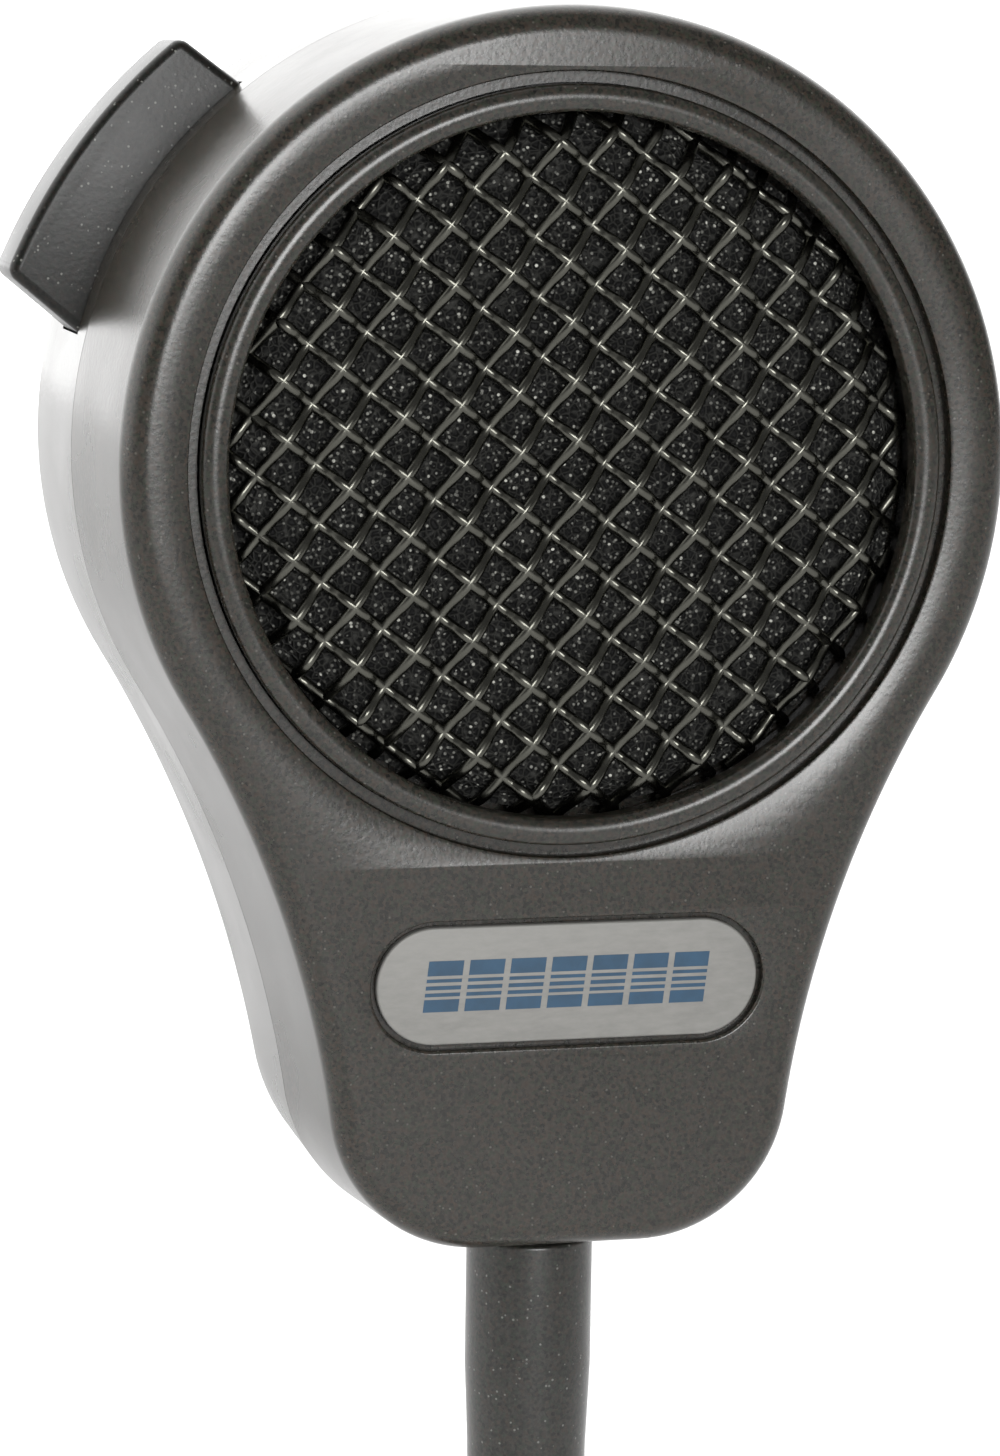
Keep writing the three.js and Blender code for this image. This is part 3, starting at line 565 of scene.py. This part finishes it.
def wall_rings(start, end, steps=5):
    """Rings between two (offset, surface) pairs, both ends left out."""
    rings = []
    for step in range(1, steps):
        t = step / steps
        rings.append((
            start[0] * (1 - t) + end[0] * t,
            lambda z, t=t: start[1](z) * (1 - t) + end[1](z) * t,
        ))
    return rings


def stadium_mesh(name, length, height, y0, y1, steps=40, lip=0.0):
    """A flat stadium from y0 back to y1; lip rounds the edge at y0, outwards if negative."""
    levels = [(0.0, y0), (0.0, y1)]
    if lip:
        levels = [
            (-lip * (1 - math.sin(math.pi / 2 * k / 5)), y0 + abs(lip) * (1 - math.cos(math.pi / 2 * k / 5)))
            for k in range(6)
        ] + [(0.0, y1)]
    points, faces = [], []
    r = height / 2
    reach = length / 2 - r
    for inset, y in levels:
        ring = arc(reach, PLATE_Z, r + inset, -math.pi / 2, math.pi / 2, steps)
        ring += arc(-reach, PLATE_Z, r + inset, math.pi / 2, 3 * math.pi / 2, steps)
        points += [(x, y, z) for x, z in ring]
    count = len(ring)
    for level in range(len(levels) - 1):
        for i in range(count):
            a, b = level * count + i, level * count + (i + 1) % count
            faces.append((a, b, b + count, a + count))
    faces.append(tuple(range(count)))
    faces.append(tuple(range((len(levels) - 1) * count, len(levels) * count)))
    return fixed_normals(mesh_from(name, points, faces))


SCREW_SPOTS = [(0, 25.5), (-10.5, -46.5), (10.5, -46.5)]


def slot_cutter(name):
    reach, side = PTT_LENGTH / 2 + 0.12, PTT_WIDTH / 2 + 0.12
    return loose(name, block_mesh(name, (24, 42), (-side, side), (-reach, reach + 0.42), PTT_FRAME))


def boot_cutter(name):
    profile = [(0, BASE_Z - 8), (4.2, BASE_Z - 8), (4.2, BASE_Z + 5), (0, BASE_Z + 5)]
    return loose(name, lathe_mesh(name, profile, 64, True, (0, CORD_Y, 0)))


def front_cover():
    foot = fillet_rings(FACE_FILLET, 0, lambda z: FACE_Y, 1)
    rim = (DRAFT, joint_y)
    met = lambda z: joint_y(z) + 0.13
    outer = loose("front_cover_shell", loft_mesh(
        "front_cover_shell",
        [*foot, *wall_rings(foot[-1], rim), (DRAFT, lambda z: joint_y(z) + 0.1), (DRAFT - 0.05, met)],
    ))
    inner_face = lambda z: FACE_Y + (FLOOR_DEPTH if z > -30 else WALL)
    cavity = loose("cavity", loft_mesh(
        "cavity", [(-WALL, inner_face), (DRAFT - WALL, lambda z: joint_y(z) + 1)]
    ))
    lip = 0.3
    well = [
        (0, FACE_Y - 1), (GROOVE_R + lip, FACE_Y - 1), (GROOVE_R + lip, FACE_Y),
        (GROOVE_R + 0.09, FACE_Y + 0.09), (GROOVE_R, FACE_Y + lip), (GROOVE_R, FACE_Y + GROOVE_DEPTH),
        (WELL_R, FACE_Y + GROOVE_DEPTH), (WELL_R, FACE_Y + WELL_DEPTH), (0, FACE_Y + WELL_DEPTH),
    ]
    cutters = [
        cavity,
        loose("well", lathe_mesh("well", well, 192)),
        loose("sound", pin_mesh("sound", 13.5, FACE_Y + 4, FACE_Y + 9, 0, 0, 96)),
        loose("recess", stadium_mesh(
            "recess", PLATE_LENGTH + 0.8, PLATE_HEIGHT + 0.8, FACE_Y - 0.001, FACE_Y + PLATE_RECESS, lip=-0.25
        )),
        boot_cutter("boot_hole"),
    ]
    carve(outer, cutters)
    mesh = outer.data
    bpy.data.objects.remove(outer)
    return make_object("front_cover_shell", mesh, "case_plastic", replaces=["front_cover"], smooth=32)


def back_cover():
    parted = lambda z: joint_y(z) + 0.17
    rim = DRAFT - BACK_DRAFT
    tail = fillet_rings(BACK_FILLET, rim, back_y, -1)[::-1]
    outer = loose("back_cover_shell", loft_mesh("back_cover_shell", [
        (DRAFT - 0.05, parted), (DRAFT, lambda z: parted(z) + 0.04),
        *wall_rings((DRAFT, parted), tail[0]), *tail,
    ]))
    cavity = loose("cavity", loft_mesh("cavity", [
        (DRAFT - WALL, lambda z: joint_y(z) - 1), (rim - WALL, lambda z: back_y(z) - WALL)
    ]))
    cutters = [cavity, slot_cutter("slot"), boot_cutter("boot_hole")]
    for x, z in SCREW_SPOTS:
        floor = back_y(z) - 2.8
        sink = [
            (0, floor), (3, floor), (3, back_y(z) - 0.3), (3.1, back_y(z) - 0.08), (3.5, back_y(z) + 0.4),
            (3.5, back_y(z) + 3), (0, back_y(z) + 3),
        ]
        cutters.append(loose("sink", lathe_mesh("sink", sink, 64, centre=(x, 0, z))))
    carve(outer, cutters)
    bosses = []
    for x, z in SCREW_SPOTS:
        boss = [
            (1.6, parted(z)), (3.6, parted(z)), (3.6, back_y(z) - 1.6), (3.2, back_y(z) - 1.6),
            (3.2, back_y(z) - 2.8), (1.6, back_y(z) - 2.8),
        ]
        bosses.append(lathe_mesh("boss", boss, 48, centre=(x, 0, z)))
    mesh = outer.data
    bpy.data.objects.remove(outer)
    make_object("back_cover_shell", mesh, "case_plastic", replaces=["back_cover"], smooth=32)
    for i, boss in enumerate(bosses):
        make_object(f"back_cover_boss_{i + 1}", boss, "case_plastic")


# ------------------------------------------------------------------ grille
MESH_R = 24.5
WIRE_R = 0.41
WAVE = 0.52  # how far a wire swings over and under the ones it crosses
WEAVES = [  # direction in degrees, spacing, which wires pass over first, and how round the waves are
    (-37.5, 3.05, 0, 0.5),
    (52.5, 2.66, 1, 0.9),
]


def dome_y(r):
    """Depth of the woven mesh's middle surface: a shallow crown that turns down at its edge."""
    crown = FACE_Y + 0.05 + 0.95 * (r / 22) ** 2.4 if r < 22 else FACE_Y + 1.0
    if r > 22:
        crown += 0.3 * (r - 22) + 0.26 * (r - 22) ** 2
    return crown


def tube_mesh(path, radius, sides=10):
    """A round tube along a path of points, with capped ends."""
    points, faces = [], []
    normal = None
    for i, here in enumerate(path):
        ahead = path[min(i + 1, len(path) - 1)] - path[max(i - 1, 0)]
        ahead.normalize()
        if normal is None:
            normal = ahead.orthogonal().normalized()
        normal = (normal - ahead * normal.dot(ahead)).normalized()
        side = ahead.cross(normal)
        for k in range(sides):
            angle = 2 * math.pi * k / sides
            points.append(here + (normal * math.cos(angle) + side * math.sin(angle)) * radius)
    for i in range(len(path) - 1):
        for k in range(sides):
            a, b = i * sides + k, i * sides + (k + 1) % sides
            faces.append((a, b, b + sides, a + sides))
    faces.append(tuple(reversed(range(sides))))
    faces.append(tuple(range((len(path) - 1) * sides, len(path) * sides)))
    return points, faces


def woven_mesh():
    points, faces = [], []
    spacings = [w[1] for w in WEAVES]
    for index, (degrees, spacing, first, round_off) in enumerate(WEAVES):
        turn = math.radians(degrees)
        along = Vector((math.cos(turn), 0, math.sin(turn)))
        across = Vector((-math.sin(turn), 0, math.cos(turn)))
        other = spacings[1 - index]
        lines = int(MESH_R / spacing) + 1
        for line in range(-lines, lines + 1):
            offset = (line + 0.5) * spacing
            if abs(offset) > MESH_R - 0.6:
                continue
            reach = math.sqrt(MESH_R**2 - offset**2)
            steps = max(8, int(2 * reach / 0.33))
            path = []
            for step in range(steps + 1):
                s = -reach + 2 * reach * step / steps
                spot = along * s + across * offset
                r = math.hypot(spot.x, spot.z)
                # Over one crossing wire and under the next
                phase = math.cos(math.pi * (s / other - 0.5)) * (1 if (line + first) % 2 else -1)
                swing = math.copysign(abs(phase) ** round_off, phase)
                lift = WAVE * swing * min(1.0, max(0.0, (MESH_R - r) / 1.5))
                path.append(Vector((spot.x, dome_y(r) - lift, spot.z)))
            more, shown = tube_mesh(path, WIRE_R)
            base = len(points)
            points += more
            faces += [[base + v for v in face] for face in shown]
    mesh = mesh_from("grille_weave", points, faces)
    make_object("grille_weave", mesh, "mesh_wire", replaces=["grille_mesh"], smooth=60)


def foam():
    """The foam pad, with a lumpy front that follows the dome."""
    points, faces = [], []
    rings, segments = 84, 240
    outer = 24.0
    for ring in range(rings + 1):
        r = outer * ring / rings
        for k in range(segments):
            angle = 2 * math.pi * k / segments
            points.append([r * math.cos(angle), 0, r * math.sin(angle)])
    for p in points:
        r = math.hypot(p[0], p[2])
        lump = waves.noise(Vector((p[0], 0, p[2])) * 1.7) * 0.22
        lump += waves.noise(Vector((p[0], 5, p[2])) * 4.1) * 0.12
        p[1] = dome_y(min(r, 23.4)) + 0.95 + lump
    for ring in range(rings):
        for k in range(segments):
            a, b = ring * segments + k, ring * segments + (k + 1) % segments
            faces.append((a, b, b + segments, a + segments))
    back = len(points)
    points += [
        [p[0], FACE_Y + 4.9, p[2]] for p in points[rings * segments:(rings + 1) * segments]
    ]
    for k in range(segments):
        a, b = rings * segments + k, rings * segments + (k + 1) % segments
        c, d = back + k, back + (k + 1) % segments
        faces.append((a, b, d, c))
    faces.append(tuple(range(back, back + segments)))
    mesh = fixed_normals(mesh_from("foam_pad", points, faces))
    make_object("foam_pad", mesh, "foam", replaces=["foam_windscreen"], smooth=60)


def ring():
    f = FACE_Y
    bead = []
    for k in range(15):
        angle = math.pi * (1 - k / 14)
        bead.append((25.18 + 0.93 * math.cos(angle), f + 0.05 - 0.66 * math.sin(angle)))
    profile = [
        (24.25, f + 1.3), *bead, (26.1, f + 0.85), (25.9, f + 0.9), (25.9, f + 4.9), (25.1, f + 4.9),
        (25.1, f + 1.3),
    ]
    mesh = lathe_mesh("grille_bezel", profile, 224)
    make_object("grille_bezel", mesh, "ring_plastic", replaces=["grille_ring"], smooth=35)


# ------------------------------------------------------------------ nameplate
BLOCKS = [(-8.95, 2.5), (-6.0, 2.5), (-3.05, 2.5), (-0.1, 2.5), (2.85, 2.5), (5.8, 2.5), (8.75, 2.5)]
STRIPES = [(0.75, 1.8), (0.28, 0.52), (-0.24, 0.04), (-0.72, -0.46), (-1.8, -0.92)]
SLANT = 0.12


def nameplate():
    """The blank plate and a plain pattern of seven slanted, slotted blocks printed on it."""
    top = FACE_Y + 0.15
    mesh = stadium_mesh("nameplate_blank", PLATE_LENGTH, PLATE_HEIGHT, top, top + 0.6, lip=0.18)
    make_object("nameplate_blank", mesh, "nameplate", replaces=["nameplate"], smooth=30)
    points, faces = [], []
    for x, width in BLOCKS:
        for low, high in STRIPES:
            base = len(points)
            corners = [(-1, low), (1, low), (1, high), (-1, high)]
            loop = [(x + side * width / 2 + SLANT * z, PLATE_Z + z) for side, z in corners]
            points += [(a, y, b) for y in (top - 0.02, top + 0.02) for a, b in loop]
            faces += [[base + k for k in face] for face in (
                (0, 1, 2, 3), (7, 6, 5, 4), (0, 4, 5, 1), (1, 5, 6, 2), (2, 6, 7, 3), (3, 7, 4, 0)
            )]
    mesh = fixed_normals(mesh_from("nameplate_pattern", points, faces))
    make_object("nameplate_pattern", mesh, "nameplate", material="plate_blue", smooth=30)


# ------------------------------------------------------------------ talk button
def talk_button():
    half = PTT_LENGTH / 2
    crown_r = (half**2 + PTT_CROWN**2) / (2 * PTT_CROWN)
    crown_x = PTT_END_R + PTT_CROWN - crown_r
    limit = math.asin(half / crown_r)
    side = PTT_WIDTH / 2
    loop = [(PTT_FLANGE_R + 0.8, -half)]
    loop += arc(crown_x, 0, crown_r, -limit, limit, 28)
    loop += [(PTT_FLANGE_R + 0.8, half + PTT_SPREAD)]
    points = [PTT_FRAME @ Vector((x, y, z)) for y in (-side, side) for x, z in loop]
    count = len(loop)
    faces = [tuple(range(count)), tuple(reversed(range(count, 2 * count)))]
    faces += [
        (k, (k + 1) % count, (k + 1) % count + count, k + count) for k in range(count)
    ]
    stem = loose("ptt_cap", fixed_normals(mesh_from("ptt_cap", points, faces)))
    edges = stem.modifiers.new("round", "BEVEL")
    edges.width = 1.15 * MM
    edges.segments = 7
    edges.limit_method = "ANGLE"
    edges.angle_limit = math.radians(35)
    applied(stem)
    mesh = stem.data
    bpy.data.objects.remove(stem)
    make_object("ptt_cap", mesh, "button_plastic", "talk_button", ["ptt_button"], smooth=50)
    flange = block_mesh(
        "ptt_flange", (PTT_FLANGE_R, PTT_FLANGE_R + 1.2), (-5.9, 5.9), (-half - 1, half + 1), PTT_FRAME
    )
    make_object("ptt_flange", flange, "button_plastic", "talk_button")
    for i, row in enumerate((-1, 1)):
        nub = block_mesh(
            "ptt_nub", (23.7, 26.1), (row * 3.7 - 1.2, row * 3.7 + 1.2), (-3.8, -2.2), PTT_FRAME
        )
        make_object(f"ptt_nub_{i + 1}", nub, "button_plastic", "talk_button")


def return_spring():
    turns, start, end = 6.5, 19.8, 25.3
    path = []
    for k in range(int(turns * 24) + 1):
        angle = 2 * math.pi * k / 24
        share = k / (turns * 24)
        path.append(PTT_FRAME @ Vector((
            start + 0.2 + (end - start - 0.4) * share, 1.3 * math.cos(angle), 4 + 1.3 * math.sin(angle)
        )))
    points, faces = tube_mesh(path, 0.19, 8)
    mesh = mesh_from("ptt_coil_spring", points, faces)
    coil = bpy.data.objects.new("ptt_coil_spring", mesh)
    bpy.context.collection.objects.link(coil)
    mesh.materials.append(MATERIALS["steel"])
    shade(coil, 60)
    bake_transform(coil)
    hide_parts("ptt_spring")


# ------------------------------------------------------------------ boot, cord and plug
def cord():
    """The curly cord: a short straight tail, a close-wound helix and another tail."""
    turns, per_turn, tail, step = 28.0, 24, 2.0, 0.5
    top, bottom = BOOT_END_Z - tail, PLUG_TOP_Z + tail
    first, last = CURL_TOP_Z - 2.7, CURL_END_Z + 2.7
    path = [Vector((0, CORD_Y, BOOT_END_Z - step * k)) for k in range(4)]
    # From the straight tail the cord swings out into the coil over half a turn
    lead, lead_steps = 0.48, 28

    def lead_in(start, end, sign):
        """Points of a smooth run from the axis at height start out to the coil at height end."""
        points = []
        for k in range(lead_steps):
            t = k / lead_steps
            swing = 1 - (1 - t * t * (3 - 2 * t)) ** 1.2
            angle = -sign * 2 * math.pi * lead * (1 - t)
            r = CURL_MEAN_R * swing
            drop = 1.48 * t * (1 - t) ** 2 + t * t * (3 - 2 * t) - 0.23 * t * t * (1 - t)
            points.append(Vector((
                r * math.cos(angle), CORD_Y + r * math.sin(angle), start + (end - start) * drop
            )))
        return points

    path += lead_in(top, first, 1)
    for k in range(int(turns * per_turn) + 1):
        angle = 2 * math.pi * k / per_turn
        z = first + (last - first) * k / (turns * per_turn)
        path.append(Vector((
            CURL_MEAN_R * math.cos(angle), CORD_Y + CURL_MEAN_R * math.sin(angle), z
        )))
    path += lead_in(bottom, last, -1)[::-1]
    path += [Vector((0, CORD_Y, bottom - step * k)) for k in range(1, 5)]
    length = sum((b - a).length for a, b in zip(path, path[1:]))
    curve = bpy.data.curves.new("curly_cord", "CURVE")
    curve.dimensions = "3D"
    spline = curve.splines.new("POLY")
    spline.points.add(len(path) - 1)
    for point, spot in zip(spline.points, path):
        point.co = (*(spot * MM), 1)
    spline.use_smooth = True
    curve.bevel_depth = CORD_R * MM
    curve.bevel_resolution = 5
    curve.use_fill_caps = True
    made = bpy.data.objects.new("curly_cord", curve)
    bpy.context.collection.objects.link(made)
    curve.materials.append(MATERIALS["cord_rubber"])
    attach(made, CASE)
    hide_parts("cord_tail_upper", "cord_curl", "cord_tail_lower")
    return made, length


curly, cord_length = cord()


def boot():
    shoulder = BASE_Z - DRAFT - 0.3
    profile = [
        (CORD_R + 0.05, -50.4), (6, -50.4), (6, -52.5), (3.9, -52.5), (3.9, shoulder), (4.55, shoulder),
        (4.55, -66), (4.3, -72), (4.1, BOOT_END_Z + 0.3), (4.1, BOOT_END_Z), (CORD_R + 0.05, BOOT_END_Z),
    ]
    radii = [0, 0.3, 0.3, 0.2, 0.1, 1.3, 3, 6, 0.3, 0.5, 0]
    mesh = lathe_mesh("boot_sleeve", rounded_profile(profile, radii), 96, True, (0, CORD_Y, 0))
    make_object("boot_sleeve", mesh, "rubber", replaces=["strain_relief"], smooth=35)


def plug():
    top, end = PLUG_TOP_Z, PLUG_END_Z
    at = (0, CORD_Y, 0)
    sleeve = [(0, top), (3.7, top), (4.2, top - 0.8)]
    for k in range(4):  # flex rings
        z = top - 1.6 - 1.5 * k
        r = 4.2 + 0.2 * k
        sleeve += [(r, z), (r - 0.45, z - 0.25), (r - 0.45, z - 0.65), (r + 0.1, z - 0.9)]
    sleeve += [(5.3, top - 8.3), (6.6, top - 9.0), (6.6, top - 9.7), (0, top - 9.7)]
    sleeve_mesh = lathe_mesh("plug_sleeve", sleeve, 96, True, at)
    made = [make_object("plug_sleeve", sleeve_mesh, "rubber", replaces=["plug_boot"], smooth=35)]
    shell = [
        (3, top - 10), (6.8, top - 10), (7.6, top - 11), (7.6, top - 14), (7.3, top - 14.3),
        (7.3, top - 15), (7.6, top - 15.3), (7.6, end + 14.2), (8.3, end + 14.2),
        (8.3, end + 12), (6.5, end + 12), (6.5, top - 11.2), (3, top - 11.2),
    ]
    shell_mesh = lathe_mesh("plug_barrel", rounded_profile(shell, [0.15] * len(shell), 3), 96, True, at)
    made.append(make_object("plug_barrel", shell_mesh, "nickel", replaces=["plug_shell"], smooth=35))
    # The ring, with straight knurling over its grip
    profile = [
        (8.7, end), (9.25, end), (9.55, end + 0.4), (9.55, end + 1.8), (9.25, end + 2.1), (9.25, end + 2.5),
        (9.6, end + 2.8), (9.6, end + 14.4), (9.25, end + 14.8), (9.25, end + 15.2), (9.55, end + 15.5),
        (9.55, end + 16.5), (9.2, end + 17.2), (7.9, end + 17.2), (7.9, end + 14.6), (8.7, end + 14.6),
    ]
    nut = lathe_mesh("plug_nut", profile, 288, True, at)
    for vertex in nut.vertices:
        x, y, z = vertex.co.x / MM, vertex.co.y / MM - CORD_Y, vertex.co.z / MM
        r = math.hypot(x, y)
        if r > 9.58 and end + 2.7 < z < end + 14.5:
            step = round(math.atan2(y, x) / (2 * math.pi) * 288)
            if step % 4 in (1, 2):
                r -= 0.32
            angle = math.atan2(y, x)
            vertex.co = Vector((r * math.cos(angle), CORD_Y + r * math.sin(angle), z)) * MM
    made.append(make_object("plug_nut", nut, "nickel", "lock_ring", ["plug_ring"], smooth=30))
    return made


# ------------------------------------------------------------------ fasteners
def hang_button():
    back = back_y(0)
    profile = [
        (0, 0), (6.3, 0), (7.2, -0.35), (7.2, -1.4), (6.4, -1.75), (4.2, -1.9), (4.2, back + 1.1),
        (5.4, back + 0.8), (5.4, back + 0.3), (1.8, back + 0.3), (1.8, -2.4), (0, -2.4),
    ]
    radii = [0, 0.5, 0.4, 0.3, 0.5, 0.5, 0.3, 0.2, 0, 0, 0, 0]
    mesh = lathe_mesh("hang_stud", rounded_profile(profile, radii, 4), 128)
    make_object("hang_stud", mesh, "nickel", replaces=["hang_button"], smooth=30)


def case_screws():
    for i, (x, z) in enumerate(SCREW_SPOTS):
        seat, tip = back_y(z) - 2.7, joint_y(z) - 7
        pitch, turns = 1.0, 9
        profile = [(0, tip), (0.5, tip + 0.3)]
        for k in range(turns):
            low = tip + 0.8 + pitch * k
            profile += [(1.02, low - 0.45), (1.36, low - 0.15), (1.36, low), (1.02, low + 0.3)]
        profile += [
            (1.3, tip + 10), (1.3, seat), (2.7, seat), (2.7, seat + 0.9), (2.4, seat + 1.4),
            (1.6, seat + 1.8), (0, seat + 1.95),
        ]
        head = loose("screw", lathe_mesh("screw", profile, 48, centre=(x, 0, z)))
        wide = [block_mesh("cross", (x - 1.55, x + 1.55), (seat + 0.7, seat + 3), (z - 0.32, z + 0.32)),
                block_mesh("cross", (x - 0.32, x + 0.32), (seat + 0.7, seat + 3), (z - 1.55, z + 1.55))]
        carve(head, [loose("cross", m) for m in wide])
        mesh = head.data
        bpy.data.objects.remove(head)
        node = f"case_screw_{i + 1}"
        make_object(f"{node}_threaded", mesh, "steel", replaces=[node], smooth=30)


front_cover()
back_cover()
ring()
woven_mesh()
foam()
nameplate()
talk_button()
return_spring()
boot()
plug_pieces = plug()
hang_button()
case_screws()

# ------------------------------------------------------------------ CAD nodes that stay
SLOTS = {s["node"]: s["material_slot"] for s in frame["record"]["subparts"]}
for name, thing in frame["nodes"].items():
    thing.data.materials.clear()
    thing.data.materials.append(MATERIALS[SLOTS[name]])
    if not thing.hide_render:
        thing.data.polygons.foreach_set("use_smooth", [True] * len(thing.data.polygons))
        thing.data.set_sharp_from_angle(angle=math.radians(30))

# ------------------------------------------------------------------ floor and light
FLOOR_Z = PLUG_END_Z - 1
FLOOR_REACH = 6000  # from the middle to each edge
FLOOR_GREY = 0.55
BRIGHT_SIDE = (-0.4, 0.9, 0.1)  # the studio is brightest in this direction
DIM, BRIGHT = 0.24, 2.7


def stage():
    material, _, shader = node_tree("floor")
    shader.inputs["Base Color"].default_value = (FLOOR_GREY, FLOOR_GREY, FLOOR_GREY, 1)
    shader.inputs["Roughness"].default_value = 0.9
    corners = [(-1, -1), (1, -1), (1, 1), (-1, 1)]
    points = [(x * FLOOR_REACH, y * FLOOR_REACH, FLOOR_Z) for x, y in corners]
    mesh = mesh_from("floor", points, [(0, 1, 2, 3)])
    floor = loose("floor", mesh)
    mesh.materials.append(material)


def area(name, at, size, power, towards=(0, -0.02, -0.01), mirrored=True):
    data = bpy.data.lights.new(name, "AREA")
    data.shape = "RECTANGLE"
    data.size, data.size_y = size
    data.energy = power
    lamp = bpy.data.objects.new(name, data)
    bpy.context.collection.objects.link(lamp)
    lamp.location = at
    lamp.rotation_euler = (Vector(towards) - Vector(at)).to_track_quat("-Z", "Y").to_euler()
    lamp.visible_camera = False
    lamp.visible_glossy = mirrored


def sky():
    """A plain studio: bright behind and to the left of the object, dimmer in front and to the right."""
    world = bpy.data.worlds.new("studio")
    bpy.context.scene.world = world
    world.use_nodes = True
    tree = world.node_tree
    direction = tree.nodes.new("ShaderNodeTexCoord")
    side = tree.nodes.new("ShaderNodeVectorMath")
    side.operation = "DOT_PRODUCT"
    side.inputs[1].default_value = BRIGHT_SIDE
    tree.links.new(direction.outputs["Generated"], side.inputs[0])
    level = tree.nodes.new("ShaderNodeMapRange")
    level.interpolation_type = "SMOOTHSTEP"
    for key, value in (("From Min", -0.2), ("From Max", 0.6), ("To Min", DIM), ("To Max", BRIGHT)):
        level.inputs[key].default_value = value
    tree.links.new(side.outputs["Value"], level.inputs["Value"])
    tree.links.new(level.outputs["Result"], tree.nodes["Background"].inputs["Strength"])
    tree.nodes["Background"].inputs["Color"].default_value = (1, 1, 1, 1)


stage()
sky()
area("key", (0.02, -1.05, 0.14), (0.42, 0.3), 6.6)
area("floor_behind", (0.3, 3.6, 2.2), (7.0, 5.0), 330, towards=(0.3, 3.4, -0.3), mirrored=False)
bpy.context.scene.view_settings.view_transform = "Standard"
